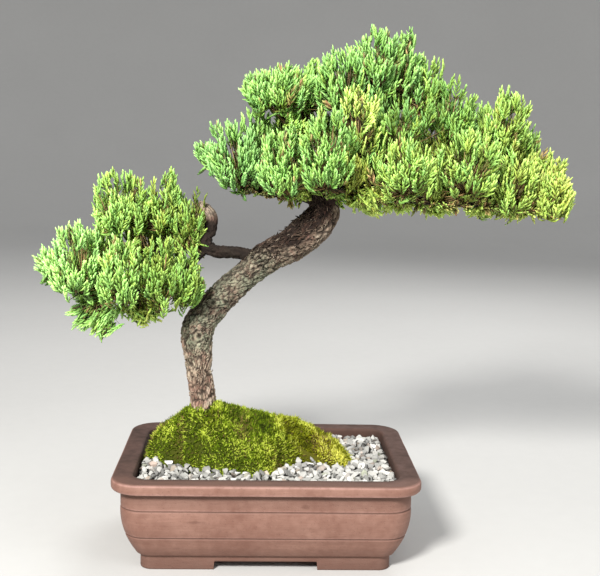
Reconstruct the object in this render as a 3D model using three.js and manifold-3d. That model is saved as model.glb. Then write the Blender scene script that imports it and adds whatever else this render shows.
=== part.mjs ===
// Bonsai juniper in a rectangular clay pot, in millimetres, +Z up.
// The origin lies on the table under the middle of the pot; +X runs along the
// pot to the right, +Y goes away from the viewer.
import * as THREE from 'three';
import { mergeVertices } from 'three/addons/utils/BufferGeometryUtils.js';
import Module from 'manifold-3d';

const wasm = await Module();
wasm.setup();

// ---- driving dimensions ----
const rimWidth = 260;
const rimDepth = 190;
const rimTop = 80;
const rimCorner = 25;
const depthShare = 0.82; // the ends taper more than the long sides
const innerWidth = 224;
const innerDepth = 154;
const innerCorner = 14;
const floorTop = 20;
const floorBottom = 9;
const footNotchWidth = 87;
const footNotchDepth = 62;
const footNotchHeight = 7.3;
const drainRadius = 10;
const drainOffset = 52;
const screenSize = 30;
const screenThickness = 1.2;
const soilTop = 64; // the soil's level round the mound
const gravelBedTop = 70;
const gravelLevel = 74;
const stoneSize = 12.5;
const mossRelief = 4;
const heapRise = 4; // the stones are heaped this much against the moss
const barkRelief = 0.5;
const boughSpread = 1.1; // widens every bough of the list below
const smallBough = 17; // the half width below which a bough is a small one
const gap = 0.3; // clearance between neighbours that touch on the real thing

// ---- helpers ----

// Random numbers from a seed, so that every build is the same.
function seeded(seed) {
  let state = seed >>> 0;
  return () => {
    state = (state + 0x6d2b79f5) >>> 0;
    let t = state;
    t = Math.imul(t ^ (t >>> 15), t | 1);
    t ^= t + Math.imul(t ^ (t >>> 7), t | 61);
    return ((t ^ (t >>> 14)) >>> 0) / 4294967296;
  };
}

// A closed three.js geometry as a solid that can be joined and cut.
function solidOf(geometry) {
  const bare = new THREE.BufferGeometry();
  bare.setAttribute('position', geometry.getAttribute('position').clone());
  if (geometry.index) bare.setIndex(geometry.index.clone());
  const merged = mergeVertices(bare, 1e-4);
  const position = merged.getAttribute('position').array;
  const triangles = [];
  let volume = 0;
  const index = merged.index.array;
  for (let i = 0; i < index.length; i += 3) {
    const [a, b, c] = [index[i], index[i + 1], index[i + 2]];
    if (a === b || b === c || a === c) continue;
    triangles.push(a, b, c);
    const corner = (k) => new THREE.Vector3().fromArray(position, 3 * k);
    volume += corner(a).dot(corner(b).cross(corner(c)));
  }
  if (volume < 0) triangles.reverse();
  return new wasm.Manifold(new wasm.Mesh({
    numProp: 3,
    vertProperties: new Float32Array(position),
    triVerts: new Uint32Array(triangles),
  }));
}

// The solid's biggest body as a named mesh with its own material.
function meshOf(name, solid, color, roughness, metalness = 0) {
  const bodies = solid.decompose();
  const body = bodies.reduce((best, next) => (next.volume() > best.volume() ? next : best));
  const { vertProperties, triVerts } = body.getMesh();
  const geometry = new THREE.BufferGeometry();
  geometry.setAttribute('position', new THREE.BufferAttribute(new Float32Array(vertProperties), 3));
  geometry.setIndex(new THREE.BufferAttribute(new Uint32Array(triVerts), 1));
  geometry.computeVertexNormals();
  const material = new THREE.MeshStandardMaterial({ color, roughness, metalness });
  const mesh = new THREE.Mesh(geometry, material);
  mesh.name = name;
  return mesh;
}

// A body skinned over rings of equally many points; it closes on the first
// and last rings, which are single points repeated.
function ringBody(rings) {
  const count = rings[0].length;
  const profile = rings.map((ring, j) => new THREE.Vector2(j % (rings.length - 1) ? 1 : 0, j));
  const geometry = new THREE.LatheGeometry(profile, count);
  const position = geometry.getAttribute('position');
  for (let i = 0; i <= count; i++) {
    rings.forEach((ring, j) => {
      const p = ring[i % count];
      position.setXYZ(i * rings.length + j, p.x, p.y, p.z);
    });
  }
  return solidOf(geometry);
}

// A single point as a ring.
const pole = (x, y, z, count) => Array(count).fill(new THREE.Vector3(x, y, z));

// A rounded rectangle's points; the straight sides are split into equal parts.
function roundedRing(halfWidth, halfDepth, corner, z, longParts, shortParts) {
  const cornerParts = 4;
  const ring = [];
  const middles = [[1, 1], [-1, 1], [-1, -1], [1, -1]];
  middles.forEach(([sx, sy], q) => {
    for (let s = 0; s <= cornerParts; s++) {
      const angle = (q + s / cornerParts) * Math.PI / 2;
      const x = sx * (halfWidth - corner) + corner * Math.cos(angle);
      const y = sy * (halfDepth - corner) + corner * Math.sin(angle);
      ring.push(new THREE.Vector3(x, y, z));
    }
    const [nx, ny] = middles[(q + 1) % 4];
    const last = ring[ring.length - 1];
    const angle = (q + 1) * Math.PI / 2;
    const next = new THREE.Vector3(
      nx * (halfWidth - corner) + corner * Math.cos(angle),
      ny * (halfDepth - corner) + corner * Math.sin(angle),
      z,
    );
    const parts = q % 2 ? shortParts : longParts;
    for (let s = 1; s < parts; s++) ring.push(last.clone().lerp(next, s / parts));
  });
  return ring;
}

// Straight-line interpolation in a list of [place, value] pairs.
function along(pairs, place) {
  if (place <= pairs[0][0]) return pairs[0][1];
  for (let i = 1; i < pairs.length; i++) {
    const [a, va] = pairs[i - 1];
    const [b, vb] = pairs[i];
    if (place <= b) return va + (vb - va) * (place - a) / (b - a);
  }
  return pairs[pairs.length - 1][1];
}

// ---- pot ----

// The outside ring at a height, set in from the rim's edge.
function potRing(inset, z) {
  const corner = Math.max(rimCorner - inset * 0.6, 6);
  return roundedRing(rimWidth / 2 - inset, rimDepth / 2 - inset * depthShare, corner, z, 1, 1);
}

// The inside ring at a height; the walls lean in below the shoulder.
function insideInset(z) {
  const shoulder = 56;
  const t = Math.max(0, (shoulder - z) / (shoulder - floorTop));
  return 10 * t ** 2;
}

function insideRing(z, clear = 0, longParts = 1, shortParts = 1) {
  const inset = insideInset(z) + clear;
  const halfDepth = innerDepth / 2 - inset;
  return roundedRing(innerWidth / 2 - inset, halfDepth, innerCorner - clear, z, longParts, shortParts);
}

// The body's side swells from the foot to the rim; two lines are cut round it.
function bodyInset(z) {
  return 7.5 + 13.5 * Math.max(0, (50 - z) / 37) ** 1.9;
}

function grooveRings(z) {
  const depth = 0.9;
  const half = 0.8;
  return [
    potRing(bodyInset(z - half), z - half),
    potRing(bodyInset(z) + depth, z),
    potRing(bodyInset(z + half), z + half),
  ];
}

function drainPlug(x, radius, from, to) {
  const geometry = new THREE.CylinderGeometry(radius, radius, to - from, 16);
  geometry.rotateX(Math.PI / 2);
  geometry.translate(x, 0, (from + to) / 2);
  return solidOf(geometry);
}

// The pot is one body: walls, floor, rim and a foot ring cut through between the feet.
function makePot() {
  const footInset = 24;
  const footWall = 14;
  const count = potRing(0, 0).length;
  const rings = [
    pole(0, 0, floorBottom, count),
    potRing(footInset + footWall, floorBottom),
    potRing(footInset + footWall, 0),
    potRing(footInset, 0),
    potRing(footInset, 12.5),
    potRing(bodyInset(13.2), 13.2),
    ...[17, 22].map((z) => potRing(bodyInset(z), z)),
    ...grooveRings(31),
    potRing(bodyInset(42), 42),
    ...grooveRings(55),
    potRing(bodyInset(69), 69),
    potRing(1.2, 70.5),
    potRing(0, 73),
    potRing(0.4, 78),
    potRing(2.4, rimTop),
    insideRing(rimTop, -2),
    insideRing(rimTop - 2.4),
    ...[56, 46, 32, floorTop].map((z) => insideRing(z)),
    pole(0, 0, floorTop, count),
  ];
  const notchX = new THREE.BoxGeometry(footNotchWidth, 2 * rimDepth, 2 * footNotchHeight);
  const notchY = new THREE.BoxGeometry(2 * rimWidth, footNotchDepth, 2 * footNotchHeight);
  let pot = ringBody(rings).subtract(solidOf(notchX)).subtract(solidOf(notchY));
  for (const side of [-1, 1]) {
    pot = pot.subtract(drainPlug(side * drainOffset, drainRadius, floorBottom - 5, floorTop + 5));
  }
  return meshOf('pot', pot, 0x6e5348, 0.72);
}

function screenBox(x, grow) {
  const size = screenSize + 2 * grow;
  const geometry = new THREE.BoxGeometry(size, size, screenThickness + 2 * grow);
  geometry.translate(x, 0, floorTop + gap + screenThickness / 2);
  return solidOf(geometry);
}

// A sheet of mesh over each drain hole, with a grid of square openings.
function makeScreen(name, x) {
  const cells = 3;
  const pitch = screenSize / (cells + 0.5);
  let screen = screenBox(x, 0);
  for (let i = 0; i < cells; i++) {
    for (let j = 0; j < cells; j++) {
      const hole = new THREE.BoxGeometry(pitch * 0.6, pitch * 0.6, 4 * screenThickness);
      const across = (k) => (k - (cells - 1) / 2) * pitch;
      hole.translate(x + across(i), across(j), floorTop + gap + screenThickness / 2);
      screen = screen.subtract(solidOf(hole));
    }
  }
  return meshOf(name, screen, 0x1d1f1e, 0.6);
}

// ---- mound: the soil's heap and the moss that covers it ----

// The moss's edge on the gravel, seen from above.
const mossEdge = [
  [77, -3], [69, -14], [54, -14], [37, -13], [22, -20], [10, -34], [-9, -45], [-26, -40],
  [-42, -41], [-59, -36], [-75, -26], [-98, -15], [-110, -2], [-105, 16], [-85, 30],
  [-50, 38], [-15, 42], [22, 42], [52, 36], [73, 18],
];
const moundMiddle = new THREE.Vector3(-54, 0, 0);

// The mound's crest: its height above the gravel and its place in Y, along X.
const crestHeight = [
  [-111, 0], [-104, 17], [-96, 25], [-86, 33], [-74, 44], [-60, 48], [-38, 49], [-12, 42],
  [20, 34], [51, 21], [68, 10], [77, 0],
];
const crestPlace = [[-111, 0], [-40, 0], [20, 9], [50, 16], [77, 5]];

// The moss's edge in front of or behind the crest at a place X.
function edgePlace(x, side) {
  const [leftEnd, rightEnd] = [[-112, 0], [79, 3]];
  const stretch = mossEdge.filter(([, y]) => y * side > 0).sort((a, b) => a[0] - b[0]);
  return along([leftEnd, ...stretch, rightEnd], x);
}

function moundHeight(x, y) {
  const crest = along(crestPlace, x);
  const edge = edgePlace(x, y < crest ? -1 : 1);
  const across = Math.min(1, Math.abs(y - crest) / Math.max(1, Math.abs(edge - crest)));
  return along(crestHeight, x) * (1 - across ** 1.8);
}

// A ring of the mound at a share of the way from the middle to the edge.
function moundRing(share, level, lump = () => 0) {
  return mossOutline.map((edge) => {
    const p = moundMiddle.clone().lerp(edge, share);
    p.z = level + (share < 1 ? moundHeight(p.x, p.y) + lump() : 0);
    return p;
  });
}

// The moss's edge met by rays from the mound's middle, one towards each point.
function edgeTowards(points) {
  const corners = mossEdge.map(([x, y]) => new THREE.Vector3(x, y, 0));
  const edge = new THREE.CatmullRomCurve3(corners, true, 'catmullrom', 0.35).getPoints(400);
  return points.map((target) => {
    const ray = target.clone().sub(moundMiddle).setZ(0).normalize();
    return edge.reduce((best, p) => {
      const aim = p.clone().sub(moundMiddle).normalize().dot(ray);
      return aim > best.aim ? { aim, p } : best;
    }, { aim: -2, p: null }).p;
  });
}

const sideParts = [8, 4]; // the inside's long and short sides are split so
const soilOutline = insideRing(soilTop, gap, ...sideParts);
const mossOutline = edgeTowards(soilOutline);
const moundSteps = [1, 0.86, 0.62, 0.3];

// The soil fills the pot and rises to a mound round the stump.
function makeSoil(stump) {
  const count = soilOutline.length;
  const middleTop = soilTop + moundHeight(moundMiddle.x, moundMiddle.y);
  const rings = [
    pole(0, 0, floorTop + gap, count),
    ...[floorTop + gap, 32, 46, soilTop].map((z) => insideRing(z, gap, ...sideParts)),
    ...moundSteps.map((share) => moundRing(share, soilTop)),
    pole(moundMiddle.x, moundMiddle.y, middleTop, count),
  ];
  const soil = ringBody(rings)
    .subtract(screenBox(-drainOffset, gap))
    .subtract(screenBox(drainOffset, gap))
    .subtract(stump);
  return meshOf('soil', soil, 0x2b2019, 0.95);
}

// A coat of moss over the mound, down to the soil at its edge, with lumps on top.
function makeMoss(stump) {
  const count = mossOutline.length;
  const draw = seeded(7);
  const reliefSteps = [0.2, 0.37, 0.53, 0.68, 0.82, 0.93, 1];
  const { x, y } = moundMiddle;
  const height = moundHeight(x, y);
  const rings = [
    pole(x, y, gravelLevel + height, count),
    ...reliefSteps.map((share) => moundRing(share, gravelLevel, () => (draw() - 0.5) * mossRelief)),
    ...moundSteps.map((share) => moundRing(share, soilTop + gap)),
    pole(x, y, soilTop + gap + height, count),
  ];
  return meshOf('moss', ringBody(rings).subtract(stump), 0x5d8a1d, 0.9);
}

// ---- gravel ----

// How far a place on the gravel lies from the moss.
const mossDistance = (x, y) => Math.min(...mossOutline.map((p) => Math.hypot(p.x - x, p.y - y)));

// A bed ringing the moss; its top rises to an angular stone in every cell.
function makeGravel() {
  const outline = insideRing(soilTop, gap);
  const shape = new THREE.Shape(outline.map((p) => new THREE.Vector2(p.x, p.y)));
  const edgeGap = gap * 1.6; // measured on the slant from the middle
  const clearEdge = mossOutline.map((p) => {
    const out = p.clone().sub(moundMiddle);
    const q = p.clone().add(out.setLength(edgeGap));
    return new THREE.Vector2(q.x, q.y);
  });
  shape.holes.push(new THREE.Path(clearEdge));
  const bedBottom = soilTop + gap;
  const bedDepth = gravelBedTop - bedBottom;
  const ring = new THREE.ExtrudeGeometry(shape, { depth: 3 * bedDepth, bevelEnabled: false });
  ring.translate(0, 0, bedBottom);

  const stoneLevels = [0, 1, 3.4]; // over the bed at a stone's corners, sides and top
  const stonePlay = [1, 3, 2.6]; // and how much each may be higher
  const across = Math.round(innerWidth / stoneSize);
  const deep = Math.round(innerDepth / stoneSize);
  const stones = new THREE.BoxGeometry(innerWidth + 4, innerDepth + 4, 2 * bedDepth, 2 * across, 2 * deep, 1);
  const position = stones.getAttribute('position');
  const draw = seeded(41);
  const pushes = Array.from({ length: (2 * across + 1) * (2 * deep + 1) }, () => [draw(), draw(), draw()]);
  const cellX = (innerWidth + 4) / (2 * across);
  const cellY = (innerDepth + 4) / (2 * deep);
  for (let k = 0; k < position.count; k++) {
    const [x, y] = [position.getX(k), position.getY(k)];
    const column = Math.round(x / cellX) + across;
    const row = Math.round(y / cellY) + deep;
    const [pushX, pushY, pushZ] = pushes[column * (2 * deep + 1) + row];
    const onEdge = column % (2 * across) === 0 || row % (2 * deep) === 0;
    const slide = onEdge ? 0 : 0.8;
    const placeX = x + (pushX - 0.5) * slide * cellX;
    const placeY = y + (pushY - 0.5) * slide * cellY;
    const crests = (column % 2) + (row % 2);
    const heap = y < 0 ? heapRise * Math.exp(-mossDistance(placeX, placeY) / 9) : 0;
    const height = gravelBedTop + stoneLevels[crests] + stonePlay[crests] * pushZ + heap;
    position.setXYZ(k, placeX, placeY, position.getZ(k) > 0 ? height : bedBottom - 1);
  }
  const gravel = solidOf(stones).intersect(solidOf(ring));
  return meshOf('gravel', gravel, 0xb9b8b2, 0.85);
}

// ---- wood: the trunk, its limbs and a twig into each bough ----

// Each limb is a list of [x, y, z, radius] along its middle.
const trunkPath = [
  [-55, 0, 40, 12], [-55, 0, 60, 15], [-55.5, 0, 85, 13], [-56.5, 0, 108, 11], [-57.5, 0, 124, 10.8],
  [-60.2, 0, 145, 11.3], [-62.2, 0, 165, 11.8], [-63.8, 0, 182, 13.8], [-60.8, 0, 196.4, 14],
  [-54.6, 0, 205.4, 13.2], [-46.6, 0, 215.8, 13.2], [-34, 0, 228.2, 12.7], [-22.4, 0, 239.6, 12],
  [-9, 0, 252, 13], [3.4, 0, 259.8, 13.6], [15.8, 0, 265.8, 14], [29, 0, 275.8, 15.6],
  [40.6, 0, 287, 15.2], [47.4, 0, 298, 12.8], [45, 0, 309, 10.6], [47, 0, 318, 7.6],
];
const limbPaths = {
  branch_left: [
    [-8, 0, 255.4, 6], [-20, -1, 258.4, 5.4], [-33.5, -2, 260.8, 5.4], [-48.4, -3, 261.8, 5.7],
    [-56, -3, 266, 6.6], [-57, -2, 273, 6.4], [-53, 0, 281, 5.6], [-52, 0, 290, 5.6],
    [-56, 0, 297, 5.2], [-64, 0, 302, 4.4],
  ],
  pad_lower: [
    [-56, -3, 264, 4], [-68, -5, 252, 3.6], [-84, -6, 241, 3.2], [-108, -5, 234, 2.8],
    [-138, -5, 231, 2.4], [-172, -7, 233, 1.8],
  ],
  pad_upper: [
    [-55, -2, 270, 4], [-72, 0, 266, 3.2], [-94, 2, 260, 2.8], [-118, 3, 257, 2.4], [-136, 3, 256, 1.8],
  ],
  leader: [
    [45, 0, 310, 8], [52, 0, 326, 7], [64, 2, 345, 6], [82, 4, 360, 5], [100, 4, 374, 3.6],
  ],
  limb_left: [
    [43, 0, 305, 6], [28, -2, 311, 4.6], [10, -6, 313, 3.8], [-14, -4, 315, 3], [-36, -7, 328, 2],
  ],
  limb_shelf: [
    [58, 1, 338, 4], [44, 2, 352, 3.2], [30, 3, 364, 2.6], [12, 0, 373, 2],
  ],
  limb_right: [
    [47, 0, 308, 6.4], [64, -4, 319, 5.2], [84, -4, 327, 4.6], [112, 0, 326, 4], [142, 2, 321, 3.4],
    [176, 2, 317, 2.8], [208, 0, 313, 2.2], [232, -3, 311, 1.8],
  ],
  limb_front: [
    [46, -3, 306, 6], [62, -18, 315, 4.6], [84, -32, 314, 4], [112, -38, 312, 3.4],
    [146, -40, 310, 2.8], [186, -36, 308, 2.4], [226, -32, 306, 1.8],
  ],
  limb_back: [
    [46, 4, 306, 6], [58, 22, 312, 4.8], [82, 40, 316, 4.2], [112, 50, 316, 3.6],
    [150, 52, 314, 2.8], [188, 50, 312, 2],
  ],
};

const limbCurve = (path) => new THREE.CatmullRomCurve3(path.map(([x, y, z]) => new THREE.Vector3(x, y, z)));

// Rings of a limb along its path: `grow` thickens it and runs its ends on.
function limbRings(path, sides, step, grow, relief) {
  const curve = limbCurve(path);
  const steps = Math.max(2, Math.round(curve.getLength() / step));
  const centres = [];
  const radii = [];
  for (let i = 0; i <= steps; i++) {
    const t = i / steps;
    centres.push(curve.getPoint(t));
    radii.push(along(path.map((p, k) => [k / (path.length - 1), p[3]]), t) + grow);
  }
  const tangents = centres.map((_, i) => (
    centres[Math.min(i + 1, steps)].clone().sub(centres[Math.max(i - 1, 0)]).normalize()
  ));
  centres[0].addScaledVector(tangents[0], -grow);
  centres[steps].addScaledVector(tangents[steps], grow);
  let across = new THREE.Vector3(0.31, 1, 0.17);
  const rings = centres.map((centre, i) => {
    const ahead = tangents[i];
    across = across.clone().addScaledVector(ahead, -across.dot(ahead)).normalize();
    const third = ahead.clone().cross(across);
    return Array.from({ length: sides }, (_, k) => {
      const angle = 2 * Math.PI * k / sides;
      const bark = relief * (Math.sin(k * 2.4 + i * 1.7) + 0.8 * Math.sin(k * 5.1 - i * 0.9));
      const r = radii[i] + bark;
      return centre.clone()
        .addScaledVector(across, r * Math.cos(angle))
        .addScaledVector(third, r * Math.sin(angle));
    });
  });
  const first = centres[0];
  const last = centres[steps];
  return [pole(first.x, first.y, first.z, sides), ...rings, pole(last.x, last.y, last.z, sides)];
}

function limbBody(path, sides, step, grow = 0, relief = 0) {
  return ringBody(limbRings(path, sides, step, grow, relief));
}

// ---- foliage ----

// Each bough: the limb it grows from, its foot, its top, and its half width.
const boughs = {
  tip_left: ['limb_left', [-42, -8, 341], [-70, -8, 356], 8.5],
  left_low: ['limb_left', [-23, -14, 304], [-42, -14, 379], 26],
  left_mid: ['limb_left', [-2, 8, 304], [-16, 12, 391], 23],
  left_front: ['limb_left', [14, -36, 302], [8, -38, 376], 24],
  shelf_left: ['limb_shelf', [0, -2, 387], [-22, -2, 416], 17.5],
  shelf_mid: ['limb_shelf', [12, -10, 380], [7, -12, 424], 20],
  shelf_right: ['limb_shelf', [35, 12, 380], [33, 14, 430], 19],
  fan_front: ['limb_front', [44, -46, 304], [46, -52, 390], 27],
  crown_left: ['leader', [63, -14, 374], [55, -16, 440], 22],
  crown_top: ['leader', [88, -6, 390], [88, -6, 459], 23],
  crown_right: ['leader', [110, 6, 388], [113, 8, 457], 22],
  gold_mid: ['leader', [73, -36, 340], [69, -42, 406], 23],
  centre_high: ['leader', [102, -32, 344], [102, -36, 398], 20],
  centre_low: ['limb_front', [112, -58, 308], [106, -62, 368], 22],
  shoulder_high: ['limb_right', [136, 6, 376], [139, 8, 446], 15],
  shoulder: ['limb_right', [153, -12, 346], [150, -14, 418], 22],
  shoulder_right: ['limb_right', [178, 8, 339], [181, 8, 399], 21],
  right_high: ['limb_right', [201, -2, 345], [204, -2, 411], 20],
  right_spike: ['limb_right', [222, 14, 339], [228, 16, 380], 13.5],
  right_front: ['limb_front', [163, -52, 307], [159, -56, 374], 26],
  right_mid: ['limb_front', [202, -34, 300], [198, -38, 356], 24],
  right_end: ['limb_right', [234, -2, 309], [244, -2, 358], 18],
  right_low: ['limb_front', [233, -34, 297], [239, -36, 339], 19],
  centre_dark: ['limb_right', [140, -18, 329], [137, -22, 356], 18],
  drop_left: ['limb_front', [84, -30, 314], [80, -34, 301], 14],
  drop_mid: ['limb_right', [112, -2, 321], [110, -4, 297], 16],
  drop_right: ['limb_right', [146, -2, 317], [148, -4, 297], 17],
  drop_end: ['limb_right', [186, -2, 313], [184, -4, 297], 16],
  drop_first: ['limb_left', [24, -12, 327], [20, -16, 308], 13],
  under_front: ['limb_front', [69, -38, 322], [67, -42, 350], 16],
  drop_tip: ['limb_right', [216, -4, 311], [217, -8, 296], 15.5],
  back_shelf: ['limb_shelf', [20, 16, 350], [19, 18, 394], 22],
  back_left: ['limb_left', [14, 44, 310], [6, 50, 380], 28],
  back_centre: ['limb_back', [62, 46, 334], [58, 50, 408], 28],
  back_crown: ['leader', [102, 40, 372], [105, 50, 448], 26],
  back_right: ['limb_back', [152, 56, 318], [146, 60, 396], 28],
  back_end: ['limb_back', [200, 50, 312], [196, 52, 380], 27],
  back_far: ['limb_back', [112, 88, 308], [104, 96, 370], 28],
  pad_tip: ['pad_lower', [-180, -8, 240], [-202, -9, 262], 11],
  pad_left: ['pad_lower', [-159, -22, 213], [-171, -24, 290], 24],
  pad_foot: ['pad_lower', [-145, -14, 223], [-168, -17, 193], 21],
  pad_under: ['pad_lower', [-108, -18, 222], [-108, -18, 200], 18],
  pad_spike: ['pad_upper', [-134, 0, 266], [-139, 0, 333], 18],
  pad_high: ['pad_upper', [-113, 4, 268], [-119, 6, 334], 19],
  pad_crest: ['pad_upper', [-91, 0, 268], [-92, 0, 334], 19],
  pad_right: ['pad_upper', [-73, -4, 266], [-71, -4, 311], 16],
  pad_front: ['pad_lower', [-124, -36, 206], [-125, -40, 284], 23],
  pad_middle: ['pad_lower', [-92, -34, 203], [-94, -38, 280], 23],
  pad_elbow: ['pad_lower', [-74, -26, 209], [-69, -28, 270], 16.5],
  pad_back: ['pad_lower', [-104, 34, 218], [-108, 40, 300], 27],
  pad_back_left: ['pad_lower', [-152, 28, 216], [-160, 34, 279], 24],
};

const point = ([x, y, z]) => new THREE.Vector3(x, y, z);

// Where two axes pass each other most closely, as a point on each.
function closestPoints(a, b) {
  const samples = 24;
  let best = { distance: Infinity };
  for (let i = 0; i <= samples; i++) {
    const p = a.foot.clone().lerp(a.top, i / samples);
    const q = new THREE.Line3(b.foot, b.top).closestPointToPoint(p, true, new THREE.Vector3());
    const distance = p.distanceTo(q);
    if (distance < best.distance) best = { distance, p, q };
  }
  return best;
}

// Flat borders that keep a bough off its neighbours: points p with
// normal . p <= limit belong to the bough. Both sides share one border.
function bordersOf(name, all) {
  const borders = [];
  for (const other of Object.keys(all)) {
    if (other === name) continue;
    const isFirst = name < other;
    const first = all[isFirst ? name : other];
    const second = all[isFirst ? other : name];
    const { distance, p, q } = closestPoints(first, second);
    const widths = first.width + second.width;
    if (distance > widths + 12) continue;
    const normal = q.clone().sub(p).normalize();
    const limit = p.clone().lerp(q, first.width / widths).dot(normal);
    borders.push(isFirst ? { normal, limit } : { normal: normal.clone().negate(), limit: -limit });
  }
  return borders;
}

const isInside = (p, borders) => borders.every(({ normal, limit }) => p.dot(normal) <= limit - gap * 0.8);

// One head of foliage: shoots spread outwards and curve upwards from a smaller
// core in the same body. Each shoot stands on a face of the core. The whole is
// laid out on rays from the bough's middle and then lifted by the square of the
// distance from its axis, so that no shoot crosses another.
function boughSolid(bough, borders, seed) {
  const draw = seeded(seed);
  const { foot, top, width } = bough;
  const axis = top.clone().sub(foot);
  const length = axis.length();
  axis.normalize();
  const side = new THREE.Vector3(0.2, -1, 0.1).cross(axis).normalize();
  const front = axis.clone().cross(side);
  const middleShare = 0.34; // the rays start this far up the axis
  const middle = foot.clone().addScaledVector(axis, middleShare * length);
  const rise = (1 - middleShare) * length;
  const fall = middleShare * length + 5;
  const coreShare = 0.52;
  const crowdedShare = 0.86; // a shoot cut shorter than this by a border is left out
  const lift = 0.47 / width;

  // The outline's distance from the middle: an oval with a flattened underside.
  const outlineAt = (ray) => {
    const up = ray.dot(axis);
    const out = Math.sqrt(Math.max(0, 1 - up * up));
    const [reach, power] = up > 0 ? [rise, 2] : [fall, 2.6];
    const span = (out / width) ** power + (Math.abs(up) / reach) ** power;
    return 1 / span ** (1 / power);
  };
  const lifted = (ray, radius) => {
    const up = ray.dot(axis);
    const outSquared = (1 - up * up) * radius * radius;
    return middle.clone().addScaledVector(ray, radius).addScaledVector(axis, lift * outSquared);
  };
  const place = (ray, share) => {
    let radius = outlineAt(ray) * share;
    if (isInside(lifted(ray, radius), borders)) return lifted(ray, radius);
    let [low, high] = [0, radius];
    for (let pass = 0; pass < 20; pass++) {
      radius = (low + high) / 2;
      if (isInside(lifted(ray, radius), borders)) low = radius;
      else high = radius;
    }
    return lifted(ray, low * Math.min(1, 0.3 + share * 0.7));
  };

  const fineness = width < smallBough ? 1 : 2; // a small head has fewer shoots
  const unit = new THREE.OctahedronGeometry(1, fineness);
  const corners = unit.getAttribute('position');
  const key = (p) => [p.x, p.y, p.z].map((v) => Math.round(v * 1000)).join();
  const turn = draw() * Math.PI;
  const coreCorners = new Map();
  const rayOf = (p) => new THREE.Vector3()
    .addScaledVector(side, p.x * Math.cos(turn) - p.y * Math.sin(turn))
    .addScaledVector(front, p.x * Math.sin(turn) + p.y * Math.cos(turn))
    .addScaledVector(axis, p.z)
    .normalize();
  const coreCorner = (k) => {
    const p = new THREE.Vector3().fromBufferAttribute(corners, k);
    if (!coreCorners.has(key(p))) {
      const ray = rayOf(p);
      coreCorners.set(key(p), { ray, at: place(ray, coreShare * (0.85 + 0.3 * draw())) });
    }
    return coreCorners.get(key(p));
  };
  const faces = [];
  const addFace = (...points) => points.forEach((p) => faces.push(p.x, p.y, p.z));
  for (let k = 0; k < corners.count; k += 3) {
    const [a, b, c] = [coreCorner(k), coreCorner(k + 1), coreCorner(k + 2)];
    const [wa, wb, wc] = [0.7 + draw(), 0.7 + draw(), 0.7 + draw()];
    const ray = new THREE.Vector3()
      .addScaledVector(a.ray, wa)
      .addScaledVector(b.ray, wb)
      .addScaledVector(c.ray, wc)
      .normalize();
    const tip = place(ray, 0.93 + 0.16 * draw());
    const isCrowded = tip.distanceTo(middle) < crowdedShare * outlineAt(ray);
    if (isCrowded || ray.dot(axis) < -0.55) {
      addFace(a.at, b.at, c.at);
      continue;
    }
    addFace(a.at, b.at, tip);
    addFace(b.at, c.at, tip);
    addFace(c.at, a.at, tip);
  }
  const geometry = new THREE.BufferGeometry();
  geometry.setAttribute('position', new THREE.Float32BufferAttribute(faces, 3));
  return solidOf(geometry);
}

// The twig that carries a bough: from the nearest place on its limb into the core.
function twigPath(bough) {
  const curve = limbCurve(limbPaths[bough.limb]);
  const start = curve.getPoints(40).reduce((best, p) => (
    p.distanceTo(bough.foot) < best.distanceTo(bough.foot) ? p : best
  ));
  const axis = bough.top.clone().sub(bough.foot);
  const inside = bough.foot.clone().addScaledVector(axis, 0.32);
  const bend = start.clone().lerp(inside, 0.5).lerp(bough.foot, 0.3);
  return [[start, 1.9], [bend, 1.7], [inside, 1.3]].map(([p, r]) => [p.x, p.y, p.z, r]);
}

// ---- assembly ----

const bonsai = new THREE.Group();
const woodSteps = { trunk: [11, 13], limb: [5, 22], twig: [3, 24] }; // sides, ring spacing

const placed = {};
for (const [name, [limb, foot, top, width]] of Object.entries(boughs)) {
  placed[name] = { limb, foot: point(foot), top: point(top), width: width * boughSpread };
}

const woodParts = [limbBody(trunkPath, ...woodSteps.trunk, 0, barkRelief)];
const woodCutters = [];
const addWood = (path, [sides, step]) => {
  woodParts.push(limbBody(path, sides, step));
  woodCutters.push(limbBody(path, sides, step, gap));
};
Object.values(limbPaths).forEach((path) => addWood(path, woodSteps.limb));
Object.values(placed).forEach((bough) => addWood(twigPath(bough), woodSteps.twig));
const trunk = wasm.Manifold.union(woodParts);
const trunkCutter = limbBody(trunkPath, ...woodSteps.trunk, gap, barkRelief);

bonsai.add(makePot());
bonsai.add(makeScreen('drain_screen_left', -drainOffset));
bonsai.add(makeScreen('drain_screen_right', drainOffset));
bonsai.add(makeSoil(trunkCutter));
bonsai.add(makeGravel());
bonsai.add(makeMoss(trunkCutter));
bonsai.add(meshOf('trunk', trunk, 0x6b5a4c, 0.9));

const boxesMeet = (a, b) => [0, 1, 2].every((k) => a.min[k] < b.max[k] && b.min[k] < a.max[k]);
Object.entries(placed).forEach(([name, bough], i) => {
  let solid = boughSolid(bough, bordersOf(name, placed), 100 + i);
  const box = solid.boundingBox();
  const near = [trunkCutter, ...woodCutters].filter((cutter) => boxesMeet(box, cutter.boundingBox()));
  solid = near.reduce((rest, cutter) => rest.subtract(cutter), solid);
  bonsai.add(meshOf(`bough_${name}`, solid, 0x6f9a3f, 0.8));
});

export default bonsai;
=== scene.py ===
import math

import bmesh
import bpy
import numpy as np
from mathutils import Matrix, Vector


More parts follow.
